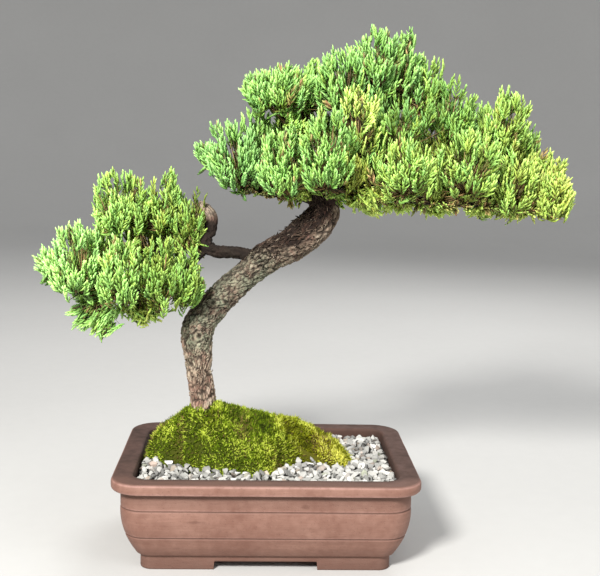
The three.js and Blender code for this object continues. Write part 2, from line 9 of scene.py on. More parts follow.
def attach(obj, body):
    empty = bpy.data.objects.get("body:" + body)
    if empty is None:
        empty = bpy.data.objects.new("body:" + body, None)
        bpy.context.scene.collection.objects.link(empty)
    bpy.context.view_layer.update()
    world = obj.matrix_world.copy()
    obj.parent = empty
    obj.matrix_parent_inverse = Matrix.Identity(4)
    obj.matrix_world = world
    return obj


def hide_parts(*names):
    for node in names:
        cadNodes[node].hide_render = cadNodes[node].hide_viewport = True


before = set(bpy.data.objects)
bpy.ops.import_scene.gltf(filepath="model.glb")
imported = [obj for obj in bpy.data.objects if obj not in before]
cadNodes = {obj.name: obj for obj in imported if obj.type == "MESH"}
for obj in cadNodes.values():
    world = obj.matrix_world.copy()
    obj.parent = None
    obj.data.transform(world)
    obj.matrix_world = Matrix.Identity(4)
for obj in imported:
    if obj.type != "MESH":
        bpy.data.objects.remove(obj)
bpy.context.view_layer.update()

mm = 0.001
print("frame loaded:", len(cadNodes), "nodes")


# small tools

def linear(red, green, blue):
    # screen colour 0-255 to linear light: c / 12.92 below 0.04045, else ((c + 0.055) / 1.055) ^ 2.4
    parts = []
    for value in (red, green, blue):
        c = value / 255
        parts.append(c / 12.92 if c <= 0.04045 else ((c + 0.055) / 1.055) ** 2.4)
    return (*parts, 1.0)


def addObject(name, data):
    # an object that holds the data, in the scene
    thing = bpy.data.objects.new(name, data)
    bpy.context.collection.objects.link(thing)
    return thing


def makePiece(name, points, faces, material, smooth, colours, replaced):
    # points (n, 3) in millimetres and faces (m, k) become one mesh object at the origin, in metres
    mesh = bpy.data.meshes.new(name)
    points = np.asarray(points, dtype=np.float32).reshape(-1, 3) * mm
    faces = np.asarray(faces, dtype=np.int32)
    mesh.vertices.add(len(points))
    mesh.vertices.foreach_set("co", points.ravel())
    mesh.loops.add(faces.size)
    mesh.loops.foreach_set("vertex_index", faces.ravel())
    mesh.polygons.add(len(faces))
    mesh.polygons.foreach_set("loop_start", np.arange(len(faces), dtype=np.int32) * faces.shape[1])
    mesh.polygons.foreach_set("use_smooth", np.full(len(faces), smooth))
    mesh.update(calc_edges=True)
    mesh.validate()
    for label, values in colours.items():
        layer = mesh.color_attributes.new(label, "FLOAT_COLOR", "POINT")
        layer.data.foreach_set("color", np.asarray(values, dtype=np.float32).ravel())
    mesh.materials.append(material)
    piece = addObject(name, mesh)
    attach(piece, "root")
    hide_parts(*replaced)
    return piece


def gridFaces(rows, columns):
    # quads between neighbouring rows; the last column joins the first
    i, j = np.meshgrid(np.arange(rows - 1), np.arange(columns), indexing="ij")
    k = (j + 1) % columns
    quads = np.stack([i * columns + j, i * columns + k, (i + 1) * columns + k, (i + 1) * columns + j], -1)
    return quads.reshape(-1, 4)


def asTriangles(quads):
    # each quad a b c d becomes a b c and a c d
    return np.concatenate([quads[:, [0, 1, 2]], quads[:, [0, 2, 3]]])


def fan(centre, first, columns, turned=False):
    # triangles from one centre corner to the ring of corners that starts at first; turned ones face back
    ring = first + np.arange(columns)
    after = first + (np.arange(columns) + 1) % columns
    return np.stack([np.full(columns, centre), *((after, ring) if turned else (ring, after))], -1)


def repeated(template, step, count):
    # one small body's faces for each of many bodies with `step` corners
    return (template[None] + step * np.arange(count)[:, None, None]).reshape(-1, 3)


def joinParts(parts):
    # lists of (points, faces, shades) become one, with the faces renumbered
    offset, points, faces, shades = 0, [], [], []
    for partPoints, partFaces, partShades in parts:
        points.append(partPoints)
        faces.append(partFaces + offset)
        shades.append(partShades)
        offset += len(partPoints)
    return np.concatenate(points), np.concatenate(faces), np.concatenate(shades)


def hashOf(cell, seed):
    # whole-number corners (.., 3) to values 0-1: multiply by big odd numbers, fold and multiply again
    with np.errstate(over="ignore"):
        n = cell[..., 0] * 374761393 + cell[..., 1] * 668265263 + cell[..., 2] * 1440662683 + seed * 97477
        n = (n ^ (n >> 13)) * 1274126177
    return ((n ^ (n >> 16)) & 0xFFFFFF) / 0xFFFFFF


def noise(points, seed):
    # lattice noise -1..1: hashed corners blended by 3t^2 - 2t^3
    cell = np.floor(points).astype(np.int64)
    t = points - cell
    t = t * t * (3 - 2 * t)
    total = 0
    for corner in range(8):
        offset = np.array([corner & 1, corner >> 1 & 1, corner >> 2])
        weight = np.prod(np.where(offset == 1, t, 1 - t), axis=-1)
        total = total + weight * hashOf(cell + offset, seed)
    return total * 2 - 1


def rough(points, octaves, seed):
    # sum of noise(p 2^k) / 2^k, scaled back to about -1..1
    total = sum(noise(points * 2 ** k, seed + k) / 2 ** k for k in range(octaves))
    return total / (2 - 2 ** (1 - octaves))


def plates(points, seed):
    # nearest and second nearest scattered point: returns edge distance f2 - f1 and the nearest's value
    cell = np.floor(points).astype(np.int64)
    near = np.full(points.shape[:-1], 9.0)
    second = near.copy()
    value = np.zeros(points.shape[:-1])
    for k in range(27):
        spot = cell + np.array([k % 3 - 1, k // 3 % 3 - 1, k // 9 - 1])
        centre = spot + np.stack([hashOf(spot, seed + a) for a in (1, 2, 3)], -1)
        distance = np.linalg.norm(centre - points, axis=-1)
        closer = distance < near
        second = np.where(closer, near, np.minimum(second, distance))
        value = np.where(closer, hashOf(spot, seed + 4), value)
        near = np.where(closer, distance, near)
    return second - near, value


def unit(v):
    # v / |v|
    return v / np.maximum(np.linalg.norm(v, axis=-1, keepdims=True), 1e-9)


def smoothStep(low, high, value):
    # 0 below low, 1 above high, 3t^2 - 2t^3 between
    t = np.clip((value - low) / (high - low), 0, 1)
    return t * t * (3 - 2 * t)


def bell(distance, width):
    # exp(-(distance / width)^2)
    return np.exp(-(distance / width) ** 2)


def onPlane(x, y):
    # (x, y, 0)
    return np.stack([x, y, np.zeros_like(x)], -1)


def ringOf(side, third, turn):
    # side cos(turn) + third sin(turn), one ring of corners for each body
    return side[:, None] * np.cos(turn)[..., None] + third[:, None] * np.sin(turn)[..., None]


# shared shader parts

def feed(tree, socket, value):
    # an input takes another node's output, or a plain value
    if isinstance(value, bpy.types.NodeSocket):
        tree.links.new(value, socket)
    else:
        socket.default_value = value


def put(tree, kind, values=None, **settings):
    # a node with its settings made first and its inputs fed after
    node = tree.nodes.new(kind)
    for key, value in settings.items():
        setattr(node, key, value)
    for key, value in (values or {}).items():
        feed(tree, node.inputs[key], value)
    return node


def ramp(tree, factor, stops):
    # straight from one screen colour to the next between their places
    node = put(tree, "ShaderNodeValToRGB", {"Fac": factor})
    elements = node.color_ramp.elements
    while len(elements) < len(stops):
        elements.new(0.5)
    for element, (place, colour) in zip(elements, stops):
        element.position = place
        element.color = linear(*colour)
    return node.outputs["Color"]


def blendColour(tree, factor, first, second, mode="MIX"):
    # first + factor x (second - first); as MULTIPLY, first x (1 - factor + factor x second)
    sockets = {0: factor, 6: first, 7: second}
    return put(tree, "ShaderNodeMix", sockets, data_type="RGBA", blend_type=mode).outputs[2]


def calc(tree, operation, first, second, clamp=False):
    # one operation on two numbers, kept within 0-1 when clamped
    return put(tree, "ShaderNodeMath", {0: first, 1: second}, operation=operation, use_clamp=clamp).outputs[0]


def tint(tree, mask, share, colour, other, mode="MIX"):
    # the colour goes towards the other by mask x share
    return blendColour(tree, calc(tree, "MULTIPLY", mask, share), colour, other, mode)


def mapRange(tree, value, low, high, toLow=0.0, toHigh=1.0):
    # toLow at low and toHigh at high, straight between them and held beyond
    values = {"Value": value, "From Min": low, "From Max": high, "To Min": toLow, "To Max": toHigh}
    return put(tree, "ShaderNodeMapRange", values).outputs["Result"]


def painted(tree, label):
    # the red, green and blue of a colour that the mesh carries
    colour = put(tree, "ShaderNodeAttribute", attribute_name=label).outputs["Color"]
    return put(tree, "ShaderNodeSeparateColor", {"Color": colour}).outputs


def newGroup(name, numbers, results):
    # a node group that takes a place and named numbers
    group = bpy.data.node_groups.new(name, "ShaderNodeTree")
    face = group.interface
    face.new_socket("Vector", in_out="INPUT", socket_type="NodeSocketVector")
    for label, value in numbers.items():
        face.new_socket(label, in_out="INPUT", socket_type="NodeSocketFloat").default_value = value
    for label in results:
        face.new_socket(label, in_out="OUTPUT", socket_type="NodeSocketFloat")
    return group, group.nodes.new("NodeGroupInput").outputs, group.nodes.new("NodeGroupOutput").inputs


def noiseFac(tree, place, scale, detail):
    # soft noise 0-1 with this many further octaves
    return put(tree, "ShaderNodeTexNoise", {"Vector": place, "Scale": scale, "Detail": detail}).outputs["Fac"]


def makeMottleGroup():
    # cloudy mask: coarse noise plus a share of fine noise, stretched between two limits
    numbers = {"Coarse": 30.0, "Fine": 200.0, "Fine Share": 0.35, "Low": 0.35, "High": 0.65}
    group, given, results = newGroup("cloudyMottle", numbers, ["Mask"])
    coarse = noiseFac(group, given["Vector"], given["Coarse"], 4.0)
    fine = noiseFac(group, given["Vector"], given["Fine"], 3.0)
    mixed = put(group, "ShaderNodeMix", {0: given["Fine Share"], 2: coarse, 3: fine}, data_type="FLOAT")
    feed(group, results["Mask"], mapRange(group, mixed.outputs[0], given["Low"], given["High"]))
    return group


def makeGrainGroup():
    # fine height: noise less small pits where a cell pattern comes near its points; specks mark the pits
    group, given, results = newGroup("fineGrain", {"Grain": 1500.0, "Pits": 500.0, "Pit Depth": 0.5},
                                     ["Height", "Speck"])
    grain = noiseFac(group, given["Vector"], given["Grain"], 3.0)
    pits = put(group, "ShaderNodeTexVoronoi", {"Vector": given["Vector"], "Scale": given["Pits"]})
    near = mapRange(group, pits.outputs["Distance"], 0.12, 0.26, 1.0, 0.0)
    depth = calc(group, "MULTIPLY", near, given["Pit Depth"])
    feed(group, results["Height"], calc(group, "SUBTRACT", grain, depth))
    feed(group, results["Speck"], near)
    return group


mottleGroup = makeMottleGroup()
grainGroup = makeGrainGroup()


def mottle(tree, place, coarse, fine, share=0.35, low=0.35, high=0.65):
    # the cloudy mask; both scales count noise cells to a metre
    values = {"Vector": place, "Coarse": coarse, "Fine": fine, "Fine Share": share, "Low": low, "High": high}
    return put(tree, "ShaderNodeGroup", values, node_tree=mottleGroup).outputs["Mask"]


def grainOf(tree, place, grain, pits, depth):
    # the fine height and its specks
    values = {"Vector": place, "Grain": grain, "Pits": pits, "Pit Depth": depth}
    return put(tree, "ShaderNodeGroup", values, node_tree=grainGroup).outputs


def newMaterial(name, roughness, specular):
    # one shader on the surface, and the place on the object that its patterns follow
    material = bpy.data.materials.new(name)
    material.use_nodes = True
    tree = material.node_tree
    tree.nodes.clear()
    output = tree.nodes.new("ShaderNodeOutputMaterial")
    shader = put(tree, "ShaderNodeBsdfPrincipled", {"Roughness": roughness, "Specular IOR Level": specular})
    tree.links.new(shader.outputs["BSDF"], output.inputs["Surface"])
    place = tree.nodes.new("ShaderNodeTexCoord").outputs["Object"]
    return material, tree, shader, place


def coat(tree, shader, colour, height, strength, distance):
    # the colour, and a bump whose distance is in metres
    tree.links.new(colour, shader.inputs["Base Color"])
    bump = put(tree, "ShaderNodeBump", {"Height": height, "Strength": strength, "Distance": distance})
    tree.links.new(bump.outputs["Normal"], shader.inputs["Normal"])


# camera, floor and lights

view = {
    "place": (-0.011, -0.905, 0.362), "down": 8.3, "towardsRight": 2.4, "roll": 1.3,  # metres and degrees
    "lens": 62.1, "sensor": 36.0,
}
studio = {
    "floorColour": linear(188, 187, 184),
    "flatReach": 2.6, "sweep": (2.0, 1.9),  # metres: flat floor's radius, then how far out and up it sweeps
    "spokes": 96,
    "worldColour": linear(236, 238, 242), "worldStrength": 0.56,
    # name: place, aim, width, power, colour
    "lamps": {
        "keyLamp": ((-0.65, -1.45, 1.3), (0.0, 0.0, 0.25), 0.4, 74.0, (1.0, 0.985, 0.96)),
        "fillLamp": ((1.35, -1.0, 0.75), (0.0, 0.0, 0.22), 1.1, 12.0, (0.96, 0.98, 1.0)),
        "rimLamp": ((0.5, 1.3, 1.3), (0.0, 0.0, 0.3), 0.9, 15.0, (1.0, 1.0, 1.0)),
    },
}


def makeCamera():
    # turned by its roll, then tilted down, then swung to the right
    cameraData = bpy.data.cameras.new("camera")
    cameraData.lens = view["lens"]
    cameraData.sensor_width = view["sensor"]
    camera = addObject("camera", cameraData)
    turn = (Matrix.Rotation(math.radians(-view["towardsRight"]), 4, "Z")
            @ Matrix.Rotation(math.radians(90 - view["down"]), 4, "X")
            @ Matrix.Rotation(math.radians(view["roll"]), 4, "Z"))
    camera.matrix_world = Matrix.Translation(Vector(view["place"])) @ turn
    bpy.context.scene.camera = camera


def makeFloor():
    # flat rings, then (out sin b, up (1 - cos b)) as the floor sweeps up at its edge
    material, tree, shader, place = newMaterial("floor", 0.8, 0.2)
    darker = tuple(0.96 * c for c in studio["floorColour"][:3]) + (1.0,)
    colour = blendColour(tree, mottle(tree, place, 3.0, 60.0), darker, studio["floorColour"])
    tree.links.new(colour, shader.inputs["Base Color"])
    out, up = studio["sweep"]
    bend = np.linspace(0, math.pi / 2, 15)
    reach = np.concatenate([[0.02, 0.8, 1.7], studio["flatReach"] + out * np.sin(bend)])[:, None]
    height = np.concatenate([[0, 0, 0], up * (1 - np.cos(bend))])[:, None]
    spokes = studio["spokes"]
    angle = np.linspace(0, 2 * math.pi, spokes, endpoint=False)[None]
    corners = np.stack([reach * np.cos(angle), reach * np.sin(angle), height + 0 * angle], -1).reshape(-1, 3)
    faces = gridFaces(len(reach), spokes).tolist() + [list(range(spokes))]
    mesh = bpy.data.meshes.new("floor")
    mesh.from_pydata(corners.tolist(), [], faces)
    mesh.polygons.foreach_set("use_smooth", np.full(len(faces), True))
    mesh.materials.append(material)
    floor = addObject("floor", mesh)


def makeLights():
    # an even sky and three round lamps, each turned from its place to its aim
    world = bpy.data.worlds.new("studio")
    bpy.context.scene.world = world
    world.use_nodes = True
    sky = world.node_tree.nodes["Background"]
    sky.inputs["Color"].default_value = studio["worldColour"]
    sky.inputs["Strength"].default_value = studio["worldStrength"]
    for name, (spot, aim, size, power, colour) in studio["lamps"].items():
        lamp = bpy.data.lights.new(name, "AREA")
        lamp.shape = "DISK"
        lamp.size = size
        lamp.energy = power
        lamp.color = colour
        turn = (Vector(aim) - Vector(spot)).to_track_quat("-Z", "Y").to_matrix().to_4x4()
        addObject(name, lamp).matrix_world = Matrix.Translation(Vector(spot)) @ turn


bpy.context.scene.view_settings.view_transform = "Standard"  # screen colours are kept as they are
makeCamera()
makeFloor()
makeLights()
print("camera, floor and lights placed")


# pot

pot = {
    "rimWidth": 260, "rimDepth": 190, "rimTop": 80, "rimCorner": 25, "depthShare": 0.82,
    "innerWidth": 224, "innerDepth": 154, "innerCorner": 14, "floorTop": 20, "floorBottom": 9,
    "footInset": 24, "footWall": 14, "notchHalf": (43.5, 31.0), "notchTop": 7.3,
    "drainOffset": 52, "drainRadius": 10, "lines": (31, 55), "lineDepth": 1.0,
    "lineWidth": 0.62, "lineStep": 0.25,  # the wall above a line stands this much further in
    "waver": 0.35,  # how far the hand-made wall strays
    # heights of the side's rows, steps of the rows about each line, and heights of the inside's rows
    "sideRows": [13.4, 14.4, 16, 18, 20, 22, 24, 26, 28, 29.4, 33.5, 36, 38.5, 41, 43.5, 46, 48.5, 51, 52.8,
                 57.5, 60, 62.5, 65, 67.2, 68.6],
    "lineRows": (-1.3, -0.9, -0.5, -0.2, 0.15, 0.5, 0.9, 1.3),
    "insideRows": (74, 70, 66, 61, 56, 51, 46, 40, 34, 28, 23, 20.6, 20),
    # rim from its undercut to its top as inset and height, and its inner edge as clearance and height
    "rim": [(7.2, 69.4), (6.2, 70.0), (4.0, 70.3), (2.0, 70.5), (1.0, 70.9), (0.4, 71.6), (0.1, 72.6),
            (0.0, 74.0), (0.0, 76.0), (0.15, 77.4), (0.6, 78.6), (1.3, 79.4), (2.4, 79.9), (4.5, 80.0),
            (8.0, 79.9), (11.5, 79.8)],
    "innerEdge": [(-4.0, 79.9), (-2.4, 79.9), (-1.4, 79.6), (-0.6, 79.0), (-0.15, 78.2), (0.0, 77.0)],
    "clay": linear(119, 85, 73), "dust": linear(156, 122, 108), "dark": linear(88, 60, 50),
    # groove is the colour of the painted shade in the grooves and under the rim
    "worn": linear(176, 138, 128), "grooveShadeColour": linear(58, 42, 38), "speck": linear(70, 50, 45),
    # grime and painted shade share one dark colour
    "grimeAndShade": linear(34, 26, 23), "grimeAndShadeShare": 0.94,
    # a chipped spot and a scuff on the front, as place and half size
    "marks": [((32, -89, 60), (5.0, 8.0, 3.2)), ((-58, -89, 46.5), (13.0, 8.0, 1.8))],
}


def bodyInset(z):
    # the side swells: 7.5 at the top, growing by a power of the depth below 50
    return 7.5 + 13.5 * np.maximum(0, (50 - z) / 37) ** 1.9


def insideInset(z):
    # the inside closes in by a square towards the floor
    return 10 * np.maximum(0, (56 - z) / (56 - pot["floorTop"])) ** 2


def potRows():
    # rows of half width, half depth, corner radius, height and foot share, from the underside round the rim
    # to the floor
    rows = []

    def outer(inset, z, foot=0):
        # half width less the inset, half depth less its share of it, and a corner that tightens with it
        corner = max(pot["rimCorner"] - 0.6 * inset, 6)
        halfDepth = pot["rimDepth"] / 2 - inset * pot["depthShare"]
        rows.append((pot["rimWidth"] / 2 - inset, halfDepth, corner, z, foot))

    def inner(clear, z):
        # the opening's half sizes less the inset of the inside's side
        inset = insideInset(z) + clear
        rows.append((pot["innerWidth"] / 2 - inset, pot["innerDepth"] / 2 - inset,
                     pot["innerCorner"] - clear, z, 0))

    inFoot, wall, under = pot["footInset"], pot["footWall"], pot["floorBottom"]
    for share in (0.04, 0.35, 0.7, 0.93):
        rows.append(((pot["rimWidth"] / 2 - inFoot - wall) * share, (pot["rimDepth"] / 2 - 31.2) * share,
                     9 * share, under, 0))
    outer(inFoot + wall + 0.6, under)
    outer(inFoot + wall, under - 0.5)
    for inset, z in ((wall, 1.0), (wall - 0.9, 0.0), (0.9, 0.0), (0.2, 0.4), (0, 1.3)):
        outer(inFoot + inset, z, 1)
    for inset, z in ((0, 8.5), (0, 11.6), (-0.5, 12.4)):
        outer(inFoot + inset, z)
    outer(bodyInset(13.2) + 0.4, 12.9)
    for z in sorted(pot["sideRows"] + [line + step for line in pot["lines"] for step in pot["lineRows"]]):
        cut = sum(pot["lineDepth"] * math.exp(-((z - line) / pot["lineWidth"]) ** 2) for line in pot["lines"])
        above = sum(pot["lineStep"] / (1 + math.exp(-(z - line) / 0.5)) for line in pot["lines"])
        outer(bodyInset(z) + cut - pot["lineStep"] + above, z)
    for inset, z in pot["rim"]:
        outer(inset, z)
    for clear, z in pot["innerEdge"]:
        inner(clear, z)
    for z in pot["insideRows"]:
        inner(0, z)
    for share in (0.95, 0.6, 0.3, 0.04):
        rows.append((102 * share, 67 * share, 13 * share, pot["floorTop"], 0))
    return np.array(rows)


def potSurface(rows):
    # each row is a rounded rectangle: corners centre + r (cos a, sin a), sides at fixed places between them;
    # foot rows rise to the notch height where |x| or |y| is inside the notch; the wall strays by slow noise
    halfWidth, halfDepth, corner, height, foot = (rows[:, k, None] for k in range(5))
    longX, shortY = pot["notchHalf"]
    edge = np.array([-1.4, -0.7, -0.3, 0.3, 0.7, 1.4])
    longPlaces = np.concatenate([[84, 70, 57], longX - edge, [36, 28, 20, 12, 4]])
    longPlaces = np.concatenate([longPlaces, -longPlaces[::-1]])
    shortPlaces = np.concatenate([[54, 43], shortY - edge, [24, 16, 8]])
    shortPlaces = np.concatenate([shortPlaces, [0], -shortPlaces[::-1]])
    arc = np.linspace(0, math.pi / 2, 15)
    xParts, yParts = [], []
    flat = np.ones_like(halfWidth)
    for quarter, (sx, sy) in enumerate(((1, 1), (-1, 1), (-1, -1), (1, -1))):
        angle = arc + quarter * math.pi / 2
        xParts.append(sx * (halfWidth - corner) + corner * np.cos(angle))
        yParts.append(sy * (halfDepth - corner) + corner * np.sin(angle))
        if quarter % 2 == 0:
            xParts.append(flat * longPlaces * sx * np.minimum(1, (halfWidth - corner) / 85))
            yParts.append(flat * sy * halfDepth * np.ones(len(longPlaces)))
        else:
            xParts.append(flat * sx * halfWidth * np.ones(len(shortPlaces)))
            yParts.append(flat * shortPlaces * sy * np.minimum(1, (halfDepth - corner) / 55))
    x, y = np.concatenate(xParts, 1), np.concatenate(yParts, 1)
    across = np.minimum(longX + 0.35 - np.abs(x), 0.7) / 0.7
    deep = np.minimum(shortY + 0.35 - np.abs(y), 0.7) / 0.7
    notch = np.clip(np.maximum(across, deep), 0, 1)
    notch = notch * notch * (3 - 2 * notch)
    points = np.stack([x, y, height + foot * notch * (pot["notchTop"] - height)], -1)
    hold = np.clip(points[..., 2] / 14, 0, 1) * (np.abs(points[..., 2] - pot["rimTop"]) > 0.01)
    stray = np.stack([noise(points / 38, 3), noise(points / 38, 8)], -1) * pot["waver"]
    points[..., :2] -= np.abs(stray) * hold[..., None] * np.sign(points[..., :2])
    points[..., 2] -= 0.25 * np.abs(noise(points / 30, 5)) * smoothStep(60, 80, points[..., 2])
    return points


def potWear(y, z, heights):
    # red: worn edges; green: painted shade in the grooves and the corner under the rim; blue: grime with
    # painted shade
    row = np.arange(len(heights))[:, None]
    rimStart = int(np.argmax((heights > 70.6) & (row[:, 0] > 20)))
    outside = row < int(np.argmax(heights >= 79.99)) + 3
    edges = bell(z - 71.2, 1.0) + 0.8 * bell(z - 78.6, 0.8)
    edges += 0.5 * sum(bell(z - line - 1.1, 0.5) for line in pot["lines"])
    edges = np.where(outside, edges, 0.35 * bell(z - 79.4, 0.8))
    # painted shade: the grooves and the corner under the rim's overhang go dark
    grooveShade = sum(bell(z - line, 0.5) for line in pot["lines"]) + bell(z - 69.6, 0.9) * (row < rimStart)
    grooveShade = np.where(outside, grooveShade, 0)
    # painted shade lies under the rim, towards the lower line and down to the feet
    paintedShade = 0.4 * smoothStep(50, 69, z) * (z < 70)
    paintedShade = paintedShade + 0.3 * smoothStep(26, 13, z) + 0.3 * smoothStep(14, 6, z)
    paintedShade += 0.16 * smoothStep(7, 0.5, np.abs(z - pot["lines"][0]) + 3 * (z > pot["lines"][0]))
    # grime and painted shade lie on the rim's top and inside; the front of the top is painted lighter than
    # its sides and back
    onTop = np.where(outside, smoothStep(78.8, 79.7, z), 1.3) * (0.68 + 0.34 * smoothStep(-84, -62, y))
    # grime and painted shade on the rim's top and inside, painted shade under the rim and at the feet, in one
    # mask
    grimeAndShade = np.clip(onTop + np.where(outside, 0.85 * paintedShade, 0), 0, 1)
    return np.stack([np.clip(edges, 0, 1), np.clip(grooveShade, 0, 1), grimeAndShade, np.ones_like(z)], -1)


def makeClay():
    # cloudy clay with level streaks, then wear, painted shade in the grooves, grime with painted shade,
    # specks and the two marks
    material, tree, shader, place = newMaterial("brownClay", 0.62, 0.22)
    cloudy = mottle(tree, place, 22.0, 160.0, 0.4, 0.36, 0.66)
    stretched = put(tree, "ShaderNodeMapping", {"Vector": place, "Scale": (0.25, 0.25, 3.0)}).outputs[0]
    streaks = mottle(tree, stretched, 40.0, 260.0, 0.5, 0.42, 0.7)
    grain = grainOf(tree, place, 1400.0, 420.0, 0.55)
    wear = painted(tree, "wear")
    colour = tint(tree, cloudy, 0.55, pot["clay"], pot["dust"])
    colour = tint(tree, streaks, 0.28, colour, pot["dark"])
    broken = calc(tree, "MULTIPLY", wear["Red"], calc(tree, "ADD", cloudy, 0.35), True)
    colour = tint(tree, broken, 0.6, colour, pot["worn"])
    # painted shade in the grooves and the corner under the rim
    colour = tint(tree, wear["Green"], 0.6, colour, pot["grooveShadeColour"])
    # grime and painted shade darken the clay together
    grimeAndShade = calc(tree, "MULTIPLY", wear["Blue"], calc(tree, "ADD", calc(tree, "MULTIPLY", cloudy, 0.3), 0.7))
    colour = tint(tree, grimeAndShade, pot["grimeAndShadeShare"], colour, pot["grimeAndShade"])
    colour = tint(tree, grain["Speck"], 0.22, colour, pot["speck"])
    for centre, halfSize in pot["marks"]:
        # a mark fades with the length of (p - centre) / half size and is broken up by the clouds
        centre, halfSize = ([c * mm for c in size] for size in (centre, halfSize))
        away = put(tree, "ShaderNodeVectorMath", {0: place, 1: centre}, operation="SUBTRACT").outputs[0]
        away = put(tree, "ShaderNodeVectorMath", {0: away, 1: halfSize}, operation="DIVIDE").outputs[0]
        reach = put(tree, "ShaderNodeVectorMath", {0: away}, operation="LENGTH").outputs["Value"]
        ragged = calc(tree, "ADD", reach, calc(tree, "MULTIPLY", cloudy, 0.5))
        colour = blendColour(tree, mapRange(tree, ragged, 0.65, 1.1, 0.5, 0.0), colour, pot["dark"])
    dull = calc(tree, "ADD", mapRange(tree, cloudy, 0.0, 1.0, 0.5, 0.72), calc(tree, "MULTIPLY", grimeAndShade, 0.3))
    tree.links.new(dull, shader.inputs["Roughness"])
    coat(tree, shader, colour, grain["Height"], 0.35, 0.0006)
    return material


def makePot():
    # the rows' grid, closed by a fan under the floor and one on it
    profile = potRows()
    points = potSurface(profile)
    rows, columns = points.shape[:2]
    wear = potWear(points[..., 1], points[..., 2], profile[:, 3])
    middles = np.array([[0, 0, pot["floorBottom"]], [0, 0, pot["floorTop"]]], dtype=float)
    first = rows * columns
    faces = np.concatenate([asTriangles(gridFaces(rows, columns)), fan(first, 0, columns, True),
                            fan(first + 1, first - columns, columns)])
    colours = np.concatenate([wear.reshape(-1, 4), [[0, 0, 0, 1], [0, 0, 0, 1]]])
    points = np.concatenate([points.reshape(-1, 3), middles])
    cutDrainHoles(makePiece("clayPot", points, faces, makeClay(), True, {"wear": colours}, ["pot"]))


def cutDrainHoles(piece):
    # two upright cylinders are taken out of the floor
    sides, bottom, top = 40, 2.0, 28.0
    for side in (-1, 1):
        angle = np.linspace(0, 2 * math.pi, sides, endpoint=False)
        ring = np.stack([side * pot["drainOffset"] + pot["drainRadius"] * np.cos(angle),
                         pot["drainRadius"] * np.sin(angle)], -1)
        low = np.column_stack([ring, np.full(sides, bottom)])
        high = np.column_stack([ring, np.full(sides, top)])
        mesh = bpy.data.meshes.new("drainCutter")
        walls = [(k, (k + 1) % sides, sides + (k + 1) % sides, sides + k) for k in range(sides)]
        mesh.from_pydata((np.concatenate([low, high]) * mm).tolist(), [],
                         walls + [tuple(range(sides - 1, -1, -1)), tuple(range(sides, 2 * sides))])
        cutter = addObject("drainCutter", mesh)
        modifier = piece.modifiers.new("drain", "BOOLEAN")
        modifier.operation = "DIFFERENCE"
        modifier.object = cutter
        modifier.solver = "EXACT"
        bpy.context.view_layer.update()
        cut = bpy.data.meshes.new_from_object(piece.evaluated_get(bpy.context.evaluated_depsgraph_get()))
        piece.modifiers.clear()
        piece.data = cut
        bpy.data.objects.remove(cutter)


makePot()
print("pot made")


# soil and drain screens keep their own shapes

def dressCadNode(name, material):
    # the solid's own mesh with this material alone
    node = cadNodes[name]
    node.data.materials.clear()
    node.data.materials.append(material)


def makeSoilMaterial():
    # crumbs, dark and less dark
    material, tree, shader, place = newMaterial("darkSoil", 0.95, 0.2)
    colour = ramp(tree, mottle(tree, place, 180.0, 900.0), [(0, (24, 19, 15)), (1, (74, 58, 44))])
    coat(tree, shader, colour, grainOf(tree, place, 900.0, 350.0, 1.0)["Height"], 0.9, 0.0015)
    return material


def makeScreenMaterial():
    # black plastic with a fine weave
    material, tree, shader, place = newMaterial("blackPlasticMesh", 0.5, 0.5)
    colour = ramp(tree, mottle(tree, place, 90.0, 700.0), [(0, (22, 23, 23)), (1, (44, 45, 44))])
    weave = put(tree, "ShaderNodeTexWave", {"Vector": place, "Scale": 500.0}).outputs["Fac"]
    coat(tree, shader, colour, weave, 0.3, 0.0004)
    return material


dressCadNode("soil", makeSoilMaterial())
screenMaterial = makeScreenMaterial()
dressCadNode("drain_screen_left", screenMaterial)
dressCadNode("drain_screen_right", screenMaterial)
print("soil and screens dressed")


# the mound that the moss covers

mound = {
    "middle": (-54, 0), "level": 74,
    "edge": [
        (77, -3), (69, -14), (54, -14), (37, -13), (22, -20), (10, -34), (-9, -45), (-26, -40),
        (-42, -41), (-59, -36), (-75, -26), (-98, -15), (-110, -2), (-105, 16), (-85, 30),
        (-50, 38), (-15, 42), (22, 42), (52, 36), (73, 18),
    ],
    "crestHeight": [
        (-111, 0), (-104, 17), (-96, 25), (-86, 33), (-74, 44), (-60, 48), (-38, 49), (-12, 42),
        (20, 34), (51, 21), (68, 10), (77, 0),
    ],
    "crestPlace": [(-111, 0), (-40, 0), (20, 9), (50, 16), (77, 5)],
}


def curveThrough(points, places, closed=False):
    # smooth curve through the points: a cubic in each span whose slopes weigh the square roots of the gaps
    points = np.asarray(points, dtype=float)
    count = len(points)
    if closed:
        u = np.asarray(places) * count
        span = np.floor(u).astype(int)
        four = [points[(span + k) % count] for k in (-1, 0, 1, 2)]
    else:
        u = np.asarray(places) * (count - 1)
        span = np.minimum(np.floor(u).astype(int), count - 2)
        longer = np.concatenate([[2 * points[0] - points[1]], points, [2 * points[-1] - points[-2]]])
        four = [longer[span + k] for k in (0, 1, 2, 3)]
    t = (u - span)[:, None]
    gaps = [np.linalg.norm(four[k + 1] - four[k], axis=1, keepdims=True) ** 0.5 for k in range(3)]
    gaps = [np.maximum(g, 1e-4) for g in gaps]
    a, b, c, d = four
    slopeB = ((b - a) / gaps[0] - (c - a) / (gaps[0] + gaps[1]) + (c - b) / gaps[1]) * gaps[1]
    slopeC = ((c - b) / gaps[1] - (d - b) / (gaps[1] + gaps[2]) + (d - c) / gaps[2]) * gaps[1]
    return (b + slopeB * t + (-3 * b + 3 * c - 2 * slopeB - slopeC) * t ** 2
            + (2 * b - 2 * c + slopeB + slopeC) * t ** 3)


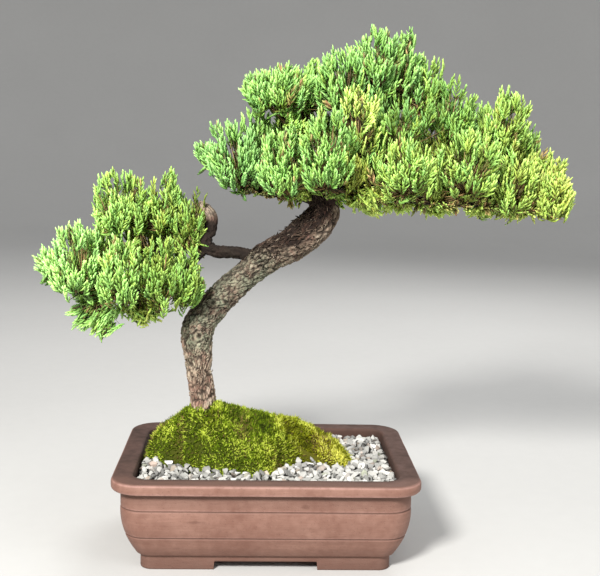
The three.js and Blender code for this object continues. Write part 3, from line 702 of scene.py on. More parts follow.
moundEdge = curveThrough(mound["edge"], np.linspace(0, 1, 721)[:-1], True)
edgeAngles = np.arctan2(moundEdge[:, 1] - mound["middle"][1], moundEdge[:, 0] - mound["middle"][0])
edgeReach = np.hypot(moundEdge[:, 1] - mound["middle"][1], moundEdge[:, 0] - mound["middle"][0])
angleOrder = np.argsort(edgeAngles)


def mossReach(angle):
    # how far the moss's edge lies from the mound's middle on a ray
    return np.interp(angle, edgeAngles[angleOrder], edgeReach[angleOrder], period=2 * math.pi)


def moundPoint(angle, share):
    # middle + share x the edge's distance x (cos a, sin a)
    return (mound["middle"][0] + share * np.cos(angle) * mossReach(angle),
            mound["middle"][1] + share * np.sin(angle) * mossReach(angle))


def beyondMoss(x, y):
    # distance from the mound's middle, less the edge's distance on the same ray
    dx, dy = x - mound["middle"][0], y - mound["middle"][1]
    return np.hypot(dx, dy) - mossReach(np.arctan2(dy, dx))


def moundHeight(x, y):
    # crest height along x, falling as 1 - share^1.8 towards the edge in front or behind
    crest = np.interp(x, *zip(*mound["crestPlace"]))
    height = np.interp(x, *zip(*mound["crestHeight"]))
    front = sorted([p for p in mound["edge"] if p[1] < 0] + [(-112, 0), (79, 3)])
    behind = sorted([p for p in mound["edge"] if p[1] > 0] + [(-112, 0), (79, 3)])
    edge = np.where(y < crest, np.interp(x, *zip(*front)), np.interp(x, *zip(*behind)))
    share = np.minimum(1, np.abs(y - crest) / np.maximum(1, np.abs(edge - crest)))
    return height * (1 - share ** 1.8)


# moss

moss = {
    "seed": 21, "lump": 3.4, "lumpSize": 13, "fineLumpSize": 5.2, "ground": (44, 216), "hairs": 18000,
    "hairLength": (1.8, 3.8), "hairRadius": 0.55, "strands": 25000, "strandLength": (2.2, 5.4),
    "strandRadius": 0.82,
    "clump": 3.4,  # size of the small clumps that stand light and dark beside each other
    # the body's top lies "sunk" under the ground of the strands, and its hollow side "drop" under its rim
    "underside": 65.2, "sunk": 1.1, "drop": 1.0,
    "collar": (-54, -13, 17, 12), "collarRise": 5.0,  # the heap against the trunk: x, y and half sizes
    "deadPatch": (-21, -15, 8, 12),  # right of the trunk: x, y and half sizes
}


def heapAt(x, y, middleX, middleY, halfX, halfY):
    # exp(-(x away / half size)^2 - (y away / half size)^2)
    return np.exp(-((x - middleX) / halfX) ** 2 - ((y - middleY) / halfY) ** 2)


def mossLumps(x, y):
    # two sizes of soft lumps, about -1..1
    p = onPlane(x, y)
    return 0.7 * noise(p / moss["lumpSize"], 4) + 0.45 * noise(p / moss["fineLumpSize"], 9)


def mossGround(x, y):
    # mound height plus the lumps and a heap against the trunk, lowered to the gravel at the edge
    lumps = moss["lump"] * mossLumps(x, y) + moss["collarRise"] * heapAt(x, y, *moss["collar"])
    fade = smoothStep(0, 9, -beyondMoss(x, y))
    return mound["level"] - 3 + (moundHeight(x, y) + 3 + lumps) * fade ** 0.55


def makeMossMaterial():
    # dark at a strand's foot and pale at its tip, green or gold, brown where it is dead, in faint clouds
    material, tree, shader, place = newMaterial("greenMoss", 0.9, 0.12)
    growth = painted(tree, "growth")
    # green is brightness, which also carries painted shade in the hollows between lumps
    fresh = ramp(tree, growth["Green"], [(0, (26, 34, 6)), (0.45, (114, 140, 20)), (1, (230, 244, 96))])
    gold = ramp(tree, growth["Green"], [(0, (46, 44, 8)), (0.45, (162, 160, 26)), (1, (252, 248, 124))])
    colour = blendColour(tree, growth["Red"], fresh, gold)
    colour = blendColour(tree, growth["Blue"], colour, linear(120, 98, 58))
    patches = mottle(tree, place, 60.0, 500.0, 0.35, 0.3, 0.7)
    colour = tint(tree, patches, 0.35, colour, linear(40, 66, 10), "MULTIPLY")
    coat(tree, shader, colour, grainOf(tree, place, 2200.0, 700.0, 0.8)["Height"], 0.6, 0.0008)
    return material


def mossSpikes(draw, count, lengths, thickness, vigourAndBrightness):
    # three-sided spikes foot + L (up + sway) on the mound; a small clump shares its length, lean and
    # brightness, and within it every third spike or so is pale
    many = count * 3
    angle = draw.uniform(-math.pi, math.pi, many)
    share = draw.uniform(0.0, 1.04, many) ** 0.5
    weight = mossReach(angle) ** 2
    keep = np.flatnonzero(draw.uniform(0, weight.max(), many) < weight)[:count]
    angle, share, count = angle[keep], share[keep], len(keep)
    x, y = moundPoint(angle, share)
    base = np.stack([x, y, mossGround(x, y)], -1)
    step = 0.8
    slopeX = (mossGround(x + step, y) - mossGround(x - step, y)) / (2 * step)
    slopeY = (mossGround(x, y + step) - mossGround(x, y - step)) / (2 * step)
    up = unit(np.stack([-slopeX * 0.6, -slopeY * 0.6, np.ones(count)], -1))
    edge, clump = plates(base * (1, 1, 0) / moss["clump"], 51)
    combed = np.stack([noise(base / 2.6, 61 + k) for k in range(3)], -1)
    up = unit(up + 0.7 * combed + draw.normal(0, 0.3, (count, 3)))
    length = draw.uniform(*lengths, count) * (0.6 + 0.4 * smoothStep(0.05, 0.45, edge) + 0.3 * (clump - 0.5))
    radius = thickness * draw.uniform(0.7, 1.25, count)
    side = unit(np.cross(up, draw.normal(0, 1, (count, 3))))
    circle = ringOf(side, np.cross(up, side), np.arange(3) * 2 * math.pi / 3)
    foot = base[:, None] - up[:, None] * 0.7 + radius[:, None, None] * circle
    points = np.concatenate([foot, (base + up * length[:, None])[:, None]], 1).reshape(-1, 3)
    faces = repeated(np.array([[0, 1, 3], [1, 2, 3], [2, 0, 3], [0, 2, 1]]), 4, count)
    pale = (draw.uniform(0, 1, count) < 0.4 * smoothStep(0.0, 0.3, edge) * (0.5 + clump)) * vigourAndBrightness
    bright = 0.3 + 0.32 * clump + draw.normal(0, 0.13, count) + pale * draw.uniform(0.35, 0.85, count)
    bright = bright + 0.12 * smoothStep(-20, 60, x)
    # painted shade: hollows between the lumps are dark; slow patches lighter or darker
    hollow = smoothStep(0.2, -0.5, mossLumps(x, y))
    patch = 1 + 0.45 * noise(base * (1, 1, 0) / 9, 77)
    bright = np.clip(bright * (1 - 0.55 * hollow) * patch, 0.03, 1)
    shade = np.ones((count, 4, 4))
    shade[..., 0] = np.clip(goldShare(x, y) + draw.normal(0, 0.13, count), 0, 1)[:, None]
    shade[:, :3, 1] = (0.55 * bright)[:, None]
    shade[:, 3, 1] = np.clip(1.25 * bright, 0, 1)
    shade[..., 2] = ((draw.uniform(0, 1, count) < brownShare(x, y)) * draw.uniform(0.5, 1.0, count))[:, None]
    return points, faces, shade.reshape(-1, 4)


def mossBody():
    # rings from the mound's middle to its edge, a skirt down to the underside, and every ninth ring back
    rings, spokes = moss["ground"]
    angle = np.linspace(-math.pi, math.pi, spokes, endpoint=False)
    x, y = moundPoint(angle, np.linspace(0.012, 1, rings)[:, None])
    ground = np.stack([x, y, mossGround(x, y) - moss["sunk"]], -1)
    skirt = ground[-1:].copy()
    skirt[..., 2] = moss["underside"]
    x, y = x[::-9], y[::-9]
    under = np.stack([x, y, moss["underside"] + moundHeight(x, y) - moss["drop"]], -1)
    grid = np.concatenate([ground, skirt, under[1:]])
    middles = [[*mound["middle"], ground[0, :, 2].mean()], [*mound["middle"], grid[-1, :, 2].mean()]]
    first = grid.size // 3
    faces = np.concatenate([asTriangles(gridFaces(len(grid), spokes))[:, ::-1], fan(first, 0, spokes),
                            fan(first + 1, first - spokes, spokes, True)])
    points = np.concatenate([grid.reshape(-1, 3), middles])
    shade = np.tile([0.0, 0.1, 0.12, 1.0], (len(points), 1))
    shade[:, 0] = goldShare(points[:, 0], points[:, 1])
    return points, faces, shade


def makeMoss():
    # the body, short hairs all over it and longer strands between them
    draw = np.random.default_rng(moss["seed"])
    points, faces, shade = joinParts([
        mossBody(),
        mossSpikes(draw, moss["hairs"], moss["hairLength"], moss["hairRadius"], 0.3),
        mossSpikes(draw, moss["strands"], moss["strandLength"], moss["strandRadius"], 1.0),
    ])
    makePiece("mossCushion", points, faces, makeMossMaterial(), True, {"growth": shade}, ["moss"])


def goldShare(x, y):
    # green on the left, yellow-green on the right, broken up by slow noise
    return np.clip(smoothStep(-25, 62, x) * 0.85 + 0.25 * noise(onPlane(x, y) / 16, 12), 0, 1)


def brownShare(x, y):
    # dead strands gather in a few patches, one of them right of the trunk
    patch = heapAt(x, y, *moss["deadPatch"])
    return 0.03 + 0.45 * smoothStep(0.3, 0.7, noise(onPlane(x, y) / 11, 31)) + 0.4 * patch


makeMoss()
print("moss made")


# gravel

gravel = {
    "seed": 5, "shapes": 14, "corners": 13, "pitch": 6.3, "layers": (68.4, 72.2, 74.9), "size": (2.9, 4.9),
    "stray": 1.6,  # how far a stone lies from its place on the grid
    "flatten": 0.86, "heapRise": 4.5, "heapReach": 9,
    "stoneGap": (1.9, 1.5), "bedGap": (0.8, 1.0),  # to the wall, and between the two corner radii
    "bedTop": 69.4, "bedDepth": 3.5, "bedSpokes": 240,
}


def hullOf(corners):
    # convex hull of a few scattered corners, as triangles facing out
    body = bmesh.new()
    for corner in corners:
        body.verts.new(corner)
    bmesh.ops.convex_hull(body, input=body.verts)
    bmesh.ops.delete(body, geom=[v for v in body.verts if not v.link_faces], context="VERTS")
    bmesh.ops.triangulate(body, faces=body.faces)
    bmesh.ops.recalc_face_normals(body, faces=body.faces)
    body.verts.ensure_lookup_table()
    body.verts.index_update()
    points = np.array([v.co[:] for v in body.verts])
    faces = np.array([[v.index for v in f.verts] for f in body.faces])
    body.free()
    return points, faces


def turnsOf(draw, count):
    # random turns: unit quaternions written out as 3 x 3 matrices
    q = unit(draw.normal(0, 1, (count, 4)))
    w, x, y, z = q.T
    rows = [1 - 2 * (y * y + z * z), 2 * (x * y - w * z), 2 * (x * z + w * y),
            2 * (x * y + w * z), 1 - 2 * (x * x + z * z), 2 * (y * z - w * x),
            2 * (x * z - w * y), 2 * (y * z + w * x), 1 - 2 * (x * x + y * y)]
    return np.stack(rows, -1).reshape(-1, 3, 3)


def makeGravelMaterial():
    # grey or warm stones, faintly cloudy, with painted shade where they lie deep
    material, tree, shader, place = newMaterial("paleGravel", 0.8, 0.35)
    stone = painted(tree, "stone")
    grey = ramp(tree, stone["Red"], [(0, (112, 111, 108)), (0.4, (166, 165, 160)), (0.8, (202, 200, 194)),
                                     (1, (230, 228, 222))])
    warm = ramp(tree, stone["Green"], [(0, (255, 255, 255)), (0.86, (255, 255, 255)), (0.93, (236, 214, 202)),
                                       (1, (214, 224, 204))])
    colour = blendColour(tree, 1.0, grey, warm, "MULTIPLY")
    cloudy = mottle(tree, place, 260.0, 1500.0, 0.5, 0.4, 0.66)
    colour = tint(tree, cloudy, 0.3, colour, linear(120, 118, 114))
    # blue is painted shade: deep stones and the bed darken
    colour = tint(tree, stone["Blue"], 0.92, colour, linear(34, 31, 29))
    coat(tree, shader, colour, grainOf(tree, place, 2600.0, 900.0, 0.5)["Height"], 0.4, 0.0004)
    return material


def pastWall(x, y, gap, cornerGap):
    # distance past a rounded rectangle that stands inside the pot's wall by the gap, less than 0 within it
    corner = pot["innerCorner"] - cornerGap
    outX = np.abs(x) - (pot["innerWidth"] / 2 - gap - corner)
    outY = np.abs(y) - (pot["innerDepth"] / 2 - gap - corner)
    return np.hypot(np.maximum(outX, 0), np.maximum(outY, 0)) + np.minimum(np.maximum(outX, outY), 0) - corner


def stonePlaces(draw):
    # layers of a triangular grid, each place strayed, kept where a stone clears the wall and the moss
    pitch, stray = gravel["pitch"], gravel["stray"]
    places, levels = [], []
    for layer, level in enumerate(gravel["layers"]):
        i, j = np.meshgrid(np.arange(-24, 25), np.arange(-18, 19), indexing="ij")
        x = (i + 0.5 * (j % 2) + 0.33 * layer) * pitch + draw.uniform(-stray, stray, i.shape)
        y = (j + 0.3 * layer) * pitch * 0.866 + draw.uniform(-stray, stray, i.shape)
        places.append(np.stack([x.ravel(), y.ravel()], -1))
        levels.append(np.full(i.size, level))
    x, y = np.concatenate(places).T
    size = draw.uniform(*gravel["size"], len(x)) * (1 + 0.18 * draw.standard_normal(len(x)).clip(-1, 1.4))
    moat = beyondMoss(x, y)
    keep = (pastWall(x, y, *gravel["stoneGap"]) < -0.3 * size) & (moat > 0.5 + 0.2 * size)
    return [v[keep] for v in (x, y, np.concatenate(levels), size, moat)]


def stoneParts(draw):
    # a few hulls, each stretched, turned, flattened and set down many times; deeper layers carry painted
    # shade
    shapes = []
    for _ in range(gravel["shapes"]):
        corners = unit(draw.normal(0, 1, (gravel["corners"], 3)))
        shapes.append(hullOf(corners * draw.uniform(0.82, 1.08, (gravel["corners"], 1)) * (1.0, 0.8, 0.66)))
    x, y, levels, size, moat = stonePlaces(draw)
    heap = gravel["heapRise"] * np.exp(-np.maximum(moat, 0) / gravel["heapReach"]) * (y < 4)
    bumps = rough(onPlane(x, y) / 22, 2, 6)
    z = levels - 0.45 * size + heap * (levels > gravel["bedTop"]) + 1.1 * bumps
    z = z + draw.uniform(-0.7, 0.7, len(x))
    turns = turnsOf(draw, len(x))
    stretch = draw.uniform(0.85, 1.2, (len(x), 3))
    kind = draw.integers(0, len(shapes), len(x))
    tone = np.clip(draw.normal(0.48, 0.27, len(x)), 0, 1)
    hue = draw.uniform(0, 1, len(x))
    # painted shade: lower layers darker, as shade between the stones above
    depth = np.where(levels < gravel["layers"][1], 0.9, np.where(levels < gravel["layers"][2], 0.55, 0.0))
    place = np.stack([x, y, z], -1)
    shade = np.stack([tone, hue, depth, np.ones(len(x))], -1)
    parts = []
    for number, (corners, faces) in enumerate(shapes):
        mine = np.flatnonzero(kind == number)
        local = corners[None] * stretch[mine][:, None] * size[mine][:, None, None]
        local = np.einsum("nij,nkj->nki", turns[mine], local)
        local[..., 2] *= gravel["flatten"]
        points = (local + place[mine][:, None]).reshape(-1, 3)
        parts.append((points, repeated(faces, len(corners), len(mine)),
                      np.repeat(shade[mine], len(corners), axis=0)))
    return parts


def gravelBed():
    # under the stones: a ring of oblong section from the moss's edge to the wall, painted fully dark as shade
    spokes, high = gravel["bedSpokes"], gravel["bedTop"]
    low = high - gravel["bedDepth"]
    angle = np.linspace(-math.pi, math.pi, spokes, endpoint=False)
    ray = np.stack([np.cos(angle), np.sin(angle)], -1)
    inner = np.array(mound["middle"]) + ray * (mossReach(angle) + 0.6)[:, None]
    outer = np.array(mound["middle"]) + ray * wallReach(angle)[:, None]
    section = ((inner, low), (outer, low), (outer, high), (inner, high))
    points = np.concatenate([np.column_stack([edge, np.full(spokes, level)]) for edge, level in section])
    faces = asTriangles(gridFaces(5, spokes) % len(points))
    return points, faces, np.tile([0.2, 0.3, 1.0, 1.0], (len(points), 1))


def makeGravel():
    # flat-faced stones on their bed
    draw = np.random.default_rng(gravel["seed"])
    points, faces, shade = joinParts(stoneParts(draw) + [gravelBed()])
    makePiece("gravelStones", points, faces, makeGravelMaterial(), False, {"stone": shade},
              ["gravel"])


def wallReach(angle):
    # how far a ray from the mound's middle runs to the rounded wall, by 24 halvings
    low, high = np.zeros_like(angle), np.full_like(angle, 400.0)
    for _ in range(24):
        middle = (low + high) / 2
        x = mound["middle"][0] + middle * np.cos(angle)
        y = mound["middle"][1] + middle * np.sin(angle)
        within = pastWall(x, y, *gravel["bedGap"]) < 0
        low, high = np.where(within, middle, low), np.where(within, high, middle)
    return low


makeGravel()
print("gravel made")


# trunk, limbs and twigs

wood = {
    "seed": 11,
    # middle line as x, y, z, radius in millimetres
    "trunk": [
        (-55, 0, 40, 12), (-55, 0, 60, 15), (-55.5, 0, 85, 13), (-56.5, 0, 108, 11), (-57.5, 0, 124, 10.8),
        (-60.2, 0, 145, 11.3), (-62.2, 0, 165, 11.8), (-63.8, 0, 182, 13.8), (-60.8, 0, 196.4, 14),
        (-54.6, 0, 205.4, 13.2), (-46.6, 0, 215.8, 13.2), (-34, 0, 228.2, 12.7), (-22.4, 0, 239.6, 12),
        (-9, 0, 252, 13), (3.4, 0, 259.8, 13.6), (15.8, 0, 265.8, 14), (29, 0, 275.8, 15.6),
        (40.6, 0, 287, 15.2), (47.4, 0, 298, 12.8), (45, 0, 309, 10.6), (47, 0, 318, 7.6),
    ],
    "limbs": {
        "branch_left": [(-8, 0, 255.4, 6), (-20, -1, 258.4, 5.4), (-33.5, -2, 260.8, 5.4),
                        (-48.4, -3, 261.8, 5.7), (-56, -3, 266, 6.6), (-57, -2, 273, 6.4), (-53, 0, 281, 5.6),
                        (-52, 0, 290, 5.6), (-56, 0, 297, 5.2), (-64, 0, 302, 4.4)],
        "pad_lower": [(-56, -3, 264, 4), (-68, -5, 252, 3.6), (-84, -6, 241, 3.2), (-108, -5, 234, 2.8),
                      (-138, -5, 231, 2.4), (-172, -7, 233, 1.8)],
        "pad_upper": [(-55, -2, 270, 4), (-72, 0, 266, 3.2), (-94, 2, 260, 2.8), (-118, 3, 257, 2.4),
                      (-136, 3, 256, 1.8)],
        "leader": [(45, 0, 310, 8), (52, 0, 326, 7), (64, 2, 345, 6), (82, 4, 360, 5), (100, 4, 374, 3.6)],
        "limb_left": [(43, 0, 305, 6), (28, -2, 311, 4.6), (10, -6, 313, 3.8), (-14, -4, 315, 3),
                      (-36, -7, 328, 2)],
        "limb_shelf": [(58, 1, 338, 4), (44, 2, 352, 3.2), (30, 3, 364, 2.6), (12, 0, 373, 2)],
        "limb_right": [(47, 0, 308, 6.4), (64, -4, 319, 5.2), (84, -4, 327, 4.6), (112, 0, 326, 4),
                       (142, 2, 321, 3.4), (176, 2, 317, 2.8), (208, 0, 313, 2.2), (232, -3, 311, 1.8)],
        "limb_front": [(46, -3, 306, 6), (62, -18, 315, 4.6), (84, -32, 314, 4), (112, -38, 312, 3.4),
                       (146, -40, 310, 2.8), (186, -36, 308, 2.4), (226, -32, 306, 1.8)],
        "limb_back": [(46, 4, 306, 6), (58, 22, 312, 4.8), (82, 40, 316, 4.2), (112, 50, 316, 3.6),
                      (150, 52, 314, 2.8), (188, 50, 312, 2)],
    },
    "trunkGrid": (400, 96), "branchGrid": (160, 36), "limbGrid": (120, 16),
    "plateSize": (3.4, 3.4, 7.5), "finePlateSize": (1.5, 1.5, 3.2),  # across, across and along the grain
    "knots": [(-49, -13, 218, 3.6), (-61.0, -13.6, 188, 3.3)],  # x, y, z, radius
    "fibres": 620, "flakes": 420, "twigRadius": 2.0,
    # along the trunk's middle line: where the bark is torn, where the tear widens, and the shaded flank
    "tornFrom": (238, 262), "tornWidens": (236, 300), "browFrom": (140, 165),
    # heights in metres: lichen begins and ends, and the upper part darkens
    "lichenFrom": (0.15, 0.195), "lichenTo": (0.24, 0.27), "darkFrom": (0.17, 0.205),
}


def tubeFrames(centres):
    # tangents by differences; the side vector is carried from ring to ring with its forward part taken off
    tangents = unit(np.gradient(centres, axis=0))
    sides = np.zeros_like(centres)
    side = np.array([0.31, 1.0, 0.17])
    for k, ahead in enumerate(tangents):
        side = side - ahead * side.dot(ahead)
        side = side / np.linalg.norm(side)
        sides[k] = side
    return sides, np.cross(tangents, sides)


def barkTube(path, rings, columns, bark):
    # tube r(s, a) = radius(s) + bark(s, a), its ends closed to a point; returns points, faces and shades
    path = np.array(path, dtype=float)
    places = np.linspace(0, 1, rings)
    centres = curveThrough(path[:, :3], places)
    radii = np.interp(places * (len(path) - 1), np.arange(len(path)), path[:, 3])[:, None]
    along = np.concatenate([[0], np.cumsum(np.linalg.norm(np.diff(centres, axis=0), axis=1))])[:, None]
    angle = np.linspace(0, 2 * math.pi, columns, endpoint=False)[None]
    outward = ringOf(*tubeFrames(centres), angle)
    smooth = centres[:, None] + outward * radii[..., None]
    # the bark's own place: round the tube and along it
    flow = np.stack([radii * np.cos(angle), radii * np.sin(angle), along + 0 * angle], -1)
    relief, shade = bark(flow, along, radii, smooth, outward)
    body = centres[:, None] + outward * (radii + relief)[..., None]
    first = rings * columns
    points = np.concatenate([body.reshape(-1, 3), centres[[0, -1]]])
    faces = np.concatenate([asTriangles(gridFaces(rings, columns)), fan(first, 0, columns, True),
                            fan(first + 1, first - columns, columns)])
    return points, faces, np.concatenate([shade.reshape(-1, 4), shade[0, :1], shade[-1, :1]])


def trunkBark(flow, along, radii, smooth, outward):
    # flaky plates stretched along the grain with cracks between them, over slow lumps, ridges and two knots
    warp = np.stack([rough(flow / 9, 2, 40 + k) for k in range(3)], -1) * 3.4
    edge, value = plates((flow + warp) / np.array(wood["plateSize"]), 7)
    fineEdge, fineValue = plates((flow + warp * 0.6) / np.array(wood["finePlateSize"]), 17)
    crack = 1 - smoothStep(0.02, 0.2, edge)
    fineCrack = 1 - smoothStep(0.02, 0.22, fineEdge)
    lumps = rough(smooth / 17, 3, 23)
    ridges = 1 - np.abs(rough(flow / (5.5, 5.5, 26), 2, 61)) * 2
    fray = rough(smooth / 9, 2, 52)
    upperLeft = 0.8 * outward[..., 2] - 0.6 * outward[..., 0]
    reach = smoothStep(*wood["tornWidens"], along)
    torn = smoothStep(0.2 - 0.6 * reach, 0.5 - 0.6 * reach, upperLeft + 0.3 * fray)
    fibrous = smoothStep(*wood["tornFrom"], along + 14 * fray) * torn
    relief = (1.3 * lumps + 1.15 * (value - 0.5) + 0.5 * (fineValue - 0.5) - 1.05 * crack - 0.45 * fineCrack
              + 0.6 * ridges - 0.1 + fibrous * 1.9 * rough(flow / (2.2, 2.2, 7), 3, 71))
    knotShade = np.zeros_like(relief)
    for x, y, z, size in wood["knots"]:
        distance = np.linalg.norm(smooth - np.array([x, y, z]), axis=-1) / size
        relief = relief + 0.9 * bell(distance - 1, 0.35) - 1.3 * bell(distance, 0.6)
        knotShade = np.maximum(knotShade, 1.6 * bell(distance, 0.62) + 0.7 * bell(distance - 1.6, 0.25))
        knotShade = knotShade - 1.2 * bell(distance - 1, 0.3)
    brow = smoothStep(0.45, 0.95, upperLeft + 0.35 * fray) * smoothStep(*wood["browFrom"], along)
    dark = np.clip(0.95 * crack + 0.5 * fineCrack + knotShade + 0.5 * brow, 0, 1)
    return relief, np.stack([dark, 0.6 * value + 0.4 * fineValue, fibrous, np.ones_like(dark)], -1)


def limbBark(flow, along, radii, smooth, outward):
    # long fibres and small plates, scaled with the limb's radius
    edge, value = plates(flow / (2.2, 2.2, 6), 27)
    crack = 1 - smoothStep(0.03, 0.25, edge)
    size = np.clip(radii / 6, 0.15, 1)
    relief = size * (0.7 * rough(smooth / 7, 3, 33) + 0.4 * (value - 0.5) - 0.5 * crack
                     + 0.5 * rough(flow / (1.4, 1.4, 9), 2, 45))
    return relief, np.stack([0.8 * crack, 0.55 * value, 1 - 0.2 * value, np.ones_like(crack)], -1)


def branchBark(flow, along, radii, smooth, outward):
    # the left branch: as the limbs but rougher and with painted shade, and bare and grey towards its cut end
    relief, shade = limbBark(flow, along, radii, smooth, outward)
    relief = 1.6 * relief + 0.5 * rough(smooth / 2.4, 2, 83)
    bare = smoothStep(0.74, 0.86, along / along.max())
    shade[..., 1] = 0.6 * shade[..., 1] + bare * (0.8 - 0.6 * shade[..., 1])
    shade[..., 2] *= 1 - bare
    # painted shade: the branch is darkened where it isn't bare, as the shade under the foliage
    shade[..., 0] = np.maximum(shade[..., 0], 0.75 * (1 - bare))
    return relief * (1 - 0.5 * bare), shade


def makeBarkMaterial():
    # plates with lichen between two heights, a darker upper part and reddish clouds; then torn fibres and
    # cracks, and painted shade on the left branch
    material, tree, shader, place = newMaterial("flakyBark", 0.88, 0.2)
    bark = painted(tree, "bark")
    plain = ramp(tree, bark["Green"], [(0, (84, 66, 56)), (0.35, (132, 110, 94)), (0.7, (176, 154, 134)),
                                       (1, (212, 196, 174))])
    fibre = ramp(tree, bark["Green"], [(0, (22, 15, 12)), (0.6, (46, 32, 25)), (1, (88, 66, 53))])
    height = put(tree, "ShaderNodeSeparateXYZ", {"Vector": place}).outputs["Z"]
    rise = mapRange(tree, height, *wood["lichenFrom"])
    fall = mapRange(tree, height, *wood["lichenTo"], 1.0, 0.0)
    zone = calc(tree, "MULTIPLY", rise, fall)
    lichen = mottle(tree, place, 75.0, 420.0, 0.45, 0.4, 0.57)
    lichen = calc(tree, "MULTIPLY", lichen, calc(tree, "ADD", zone, 0.1), True)
    colour = tint(tree, lichen, 0.88, plain, linear(168, 176, 148))
    upper = mapRange(tree, height, *wood["darkFrom"])
    colour = blendColour(tree, upper, colour, (0.62, 0.62, 0.62, 1.0), "MULTIPLY")
    reddish = mottle(tree, place, 50.0, 300.0, 0.4, 0.5, 0.64)
    share = calc(tree, "SUBTRACT", 0.5, calc(tree, "MULTIPLY", zone, 0.36))
    colour = tint(tree, reddish, share, colour, linear(168, 116, 104))
    colour = blendColour(tree, bark["Blue"], colour, fibre)
    # red darkens: cracks, knots, the dark flank and the left branch's painted shade
    colour = tint(tree, bark["Red"], 0.9, colour, linear(34, 27, 23))
    coat(tree, shader, colour, grainOf(tree, place, 1700.0, 650.0, 0.8)["Height"], 0.7, 0.0009)
    return material


def thinTubes(starts, bends, ends, radii, sides, rings):
    # many small tubes at once: (1-t)^2 start + 2t(1-t) bend + t^2 end, radius falling to 35% at the end
    t = np.linspace(0, 1, rings)[None, :, None]
    centres = (1 - t) ** 2 * starts[:, None] + 2 * t * (1 - t) * bends[:, None] + t ** 2 * ends[:, None]
    ahead = unit(ends - starts)
    side = unit(np.cross(ahead, np.array([0.37, 0.61, 0.7])))
    circle = ringOf(side, np.cross(ahead, side), np.arange(sides) * 2 * math.pi / sides)
    width = radii[:, None, None, None] * (1 - 0.65 * t[..., None])
    points = (centres[:, :, None] + circle[:, None] * width).reshape(-1, 3)
    top = (rings - 1) * sides
    caps = [[0, k + 1, k] for k in range(1, sides - 1)]
    caps += [[top, top + k, top + k + 1] for k in range(1, sides - 1)]
    template = np.concatenate([asTriangles(gridFaces(rings, sides)), caps])
    return points, repeated(template, rings * sides, len(starts)), rings * sides


def boughFrames():
    # each bough's shoots and heart, read from its solid: a shoot's tip is a corner where three faces meet
    found = {}
    for name, node in cadNodes.items():
        if not name.startswith("bough_"):
            continue
        mesh = node.data
        loose = np.zeros(len(mesh.vertices) * 3, dtype=np.float32)
        mesh.vertices.foreach_get("co", loose)
        loose = loose.reshape(-1, 3) * 1000
        index = np.zeros(len(mesh.loops), dtype=np.int32)
        mesh.loops.foreach_get("vertex_index", index)
        keys = np.round(loose * 50).astype(np.int64)
        _, firsts, back = np.unique(keys, axis=0, return_index=True, return_inverse=True)
        corners = loose[firsts]
        uses = np.bincount(back.ravel()[index], minlength=len(corners))
        middle = corners[uses > 3].mean(axis=0)
        reach = np.linalg.norm(corners - middle, axis=1)
        isTip = (uses == 3) & (reach > 0.8 * np.median(reach[uses > 3]))
        tips, core = corners[isTip], corners[uses > 3]
        hangs = name.startswith("bough_drop") or name in ("bough_pad_foot", "bough_pad_under")
        order = np.argsort(core[:, 2])
        ends = core[order[-5:]] if hangs else core[order[:5]]
        foot = ends.mean(axis=0)
        axis = unit(tips.mean(axis=0) - foot)
        found[name[6:]] = {"tips": tips, "core": core, "middle": middle, "foot": foot, "axis": axis,
                           "hangs": hangs}
    return found


boughs = boughFrames()
limbPoints = np.concatenate([curveThrough(np.array(path, dtype=float)[:, :3], np.linspace(0, 1, 60))
                             for path in wood["limbs"].values()])


def makeTrunk():
    # the tubes of trunk and limbs, a twig from the nearest limb into each bough, and loose bark
    draw = np.random.default_rng(wood["seed"])
    parts = [barkTube(wood["trunk"], *wood["trunkGrid"], trunkBark)]
    for name, path in wood["limbs"].items():
        if name == "branch_left":
            parts.append(barkTube(path, *wood["branchGrid"], branchBark))
        else:
            parts.append(barkTube(path, *wood["limbGrid"], limbBark))
    feet = np.array([bough["foot"] for bough in boughs.values()])
    middles = np.array([bough["middle"] for bough in boughs.values()])
    starts = np.array([limbPoints[np.argmin(np.linalg.norm(limbPoints - foot, axis=1))] for foot in feet])
    ends = feet + 0.55 * (middles - feet)
    bends = (starts + ends) / 2 * 0.6 + feet * 0.4
    points, faces, _ = thinTubes(starts, bends, ends, np.full(len(starts), wood["twigRadius"]), 8, 12)
    shade = np.tile([0.25, 0.35, 0.8, 1.0], (len(points), 1))
    shade[:, 1] = draw.uniform(0.1, 0.8, len(points))
    points, faces, shades = joinParts(parts + [(points, faces, shade), barkStrands(draw)])
    makePiece("trunkAndLimbs", points, faces, makeBarkMaterial(), True, {"bark": shades}, ["trunk"])


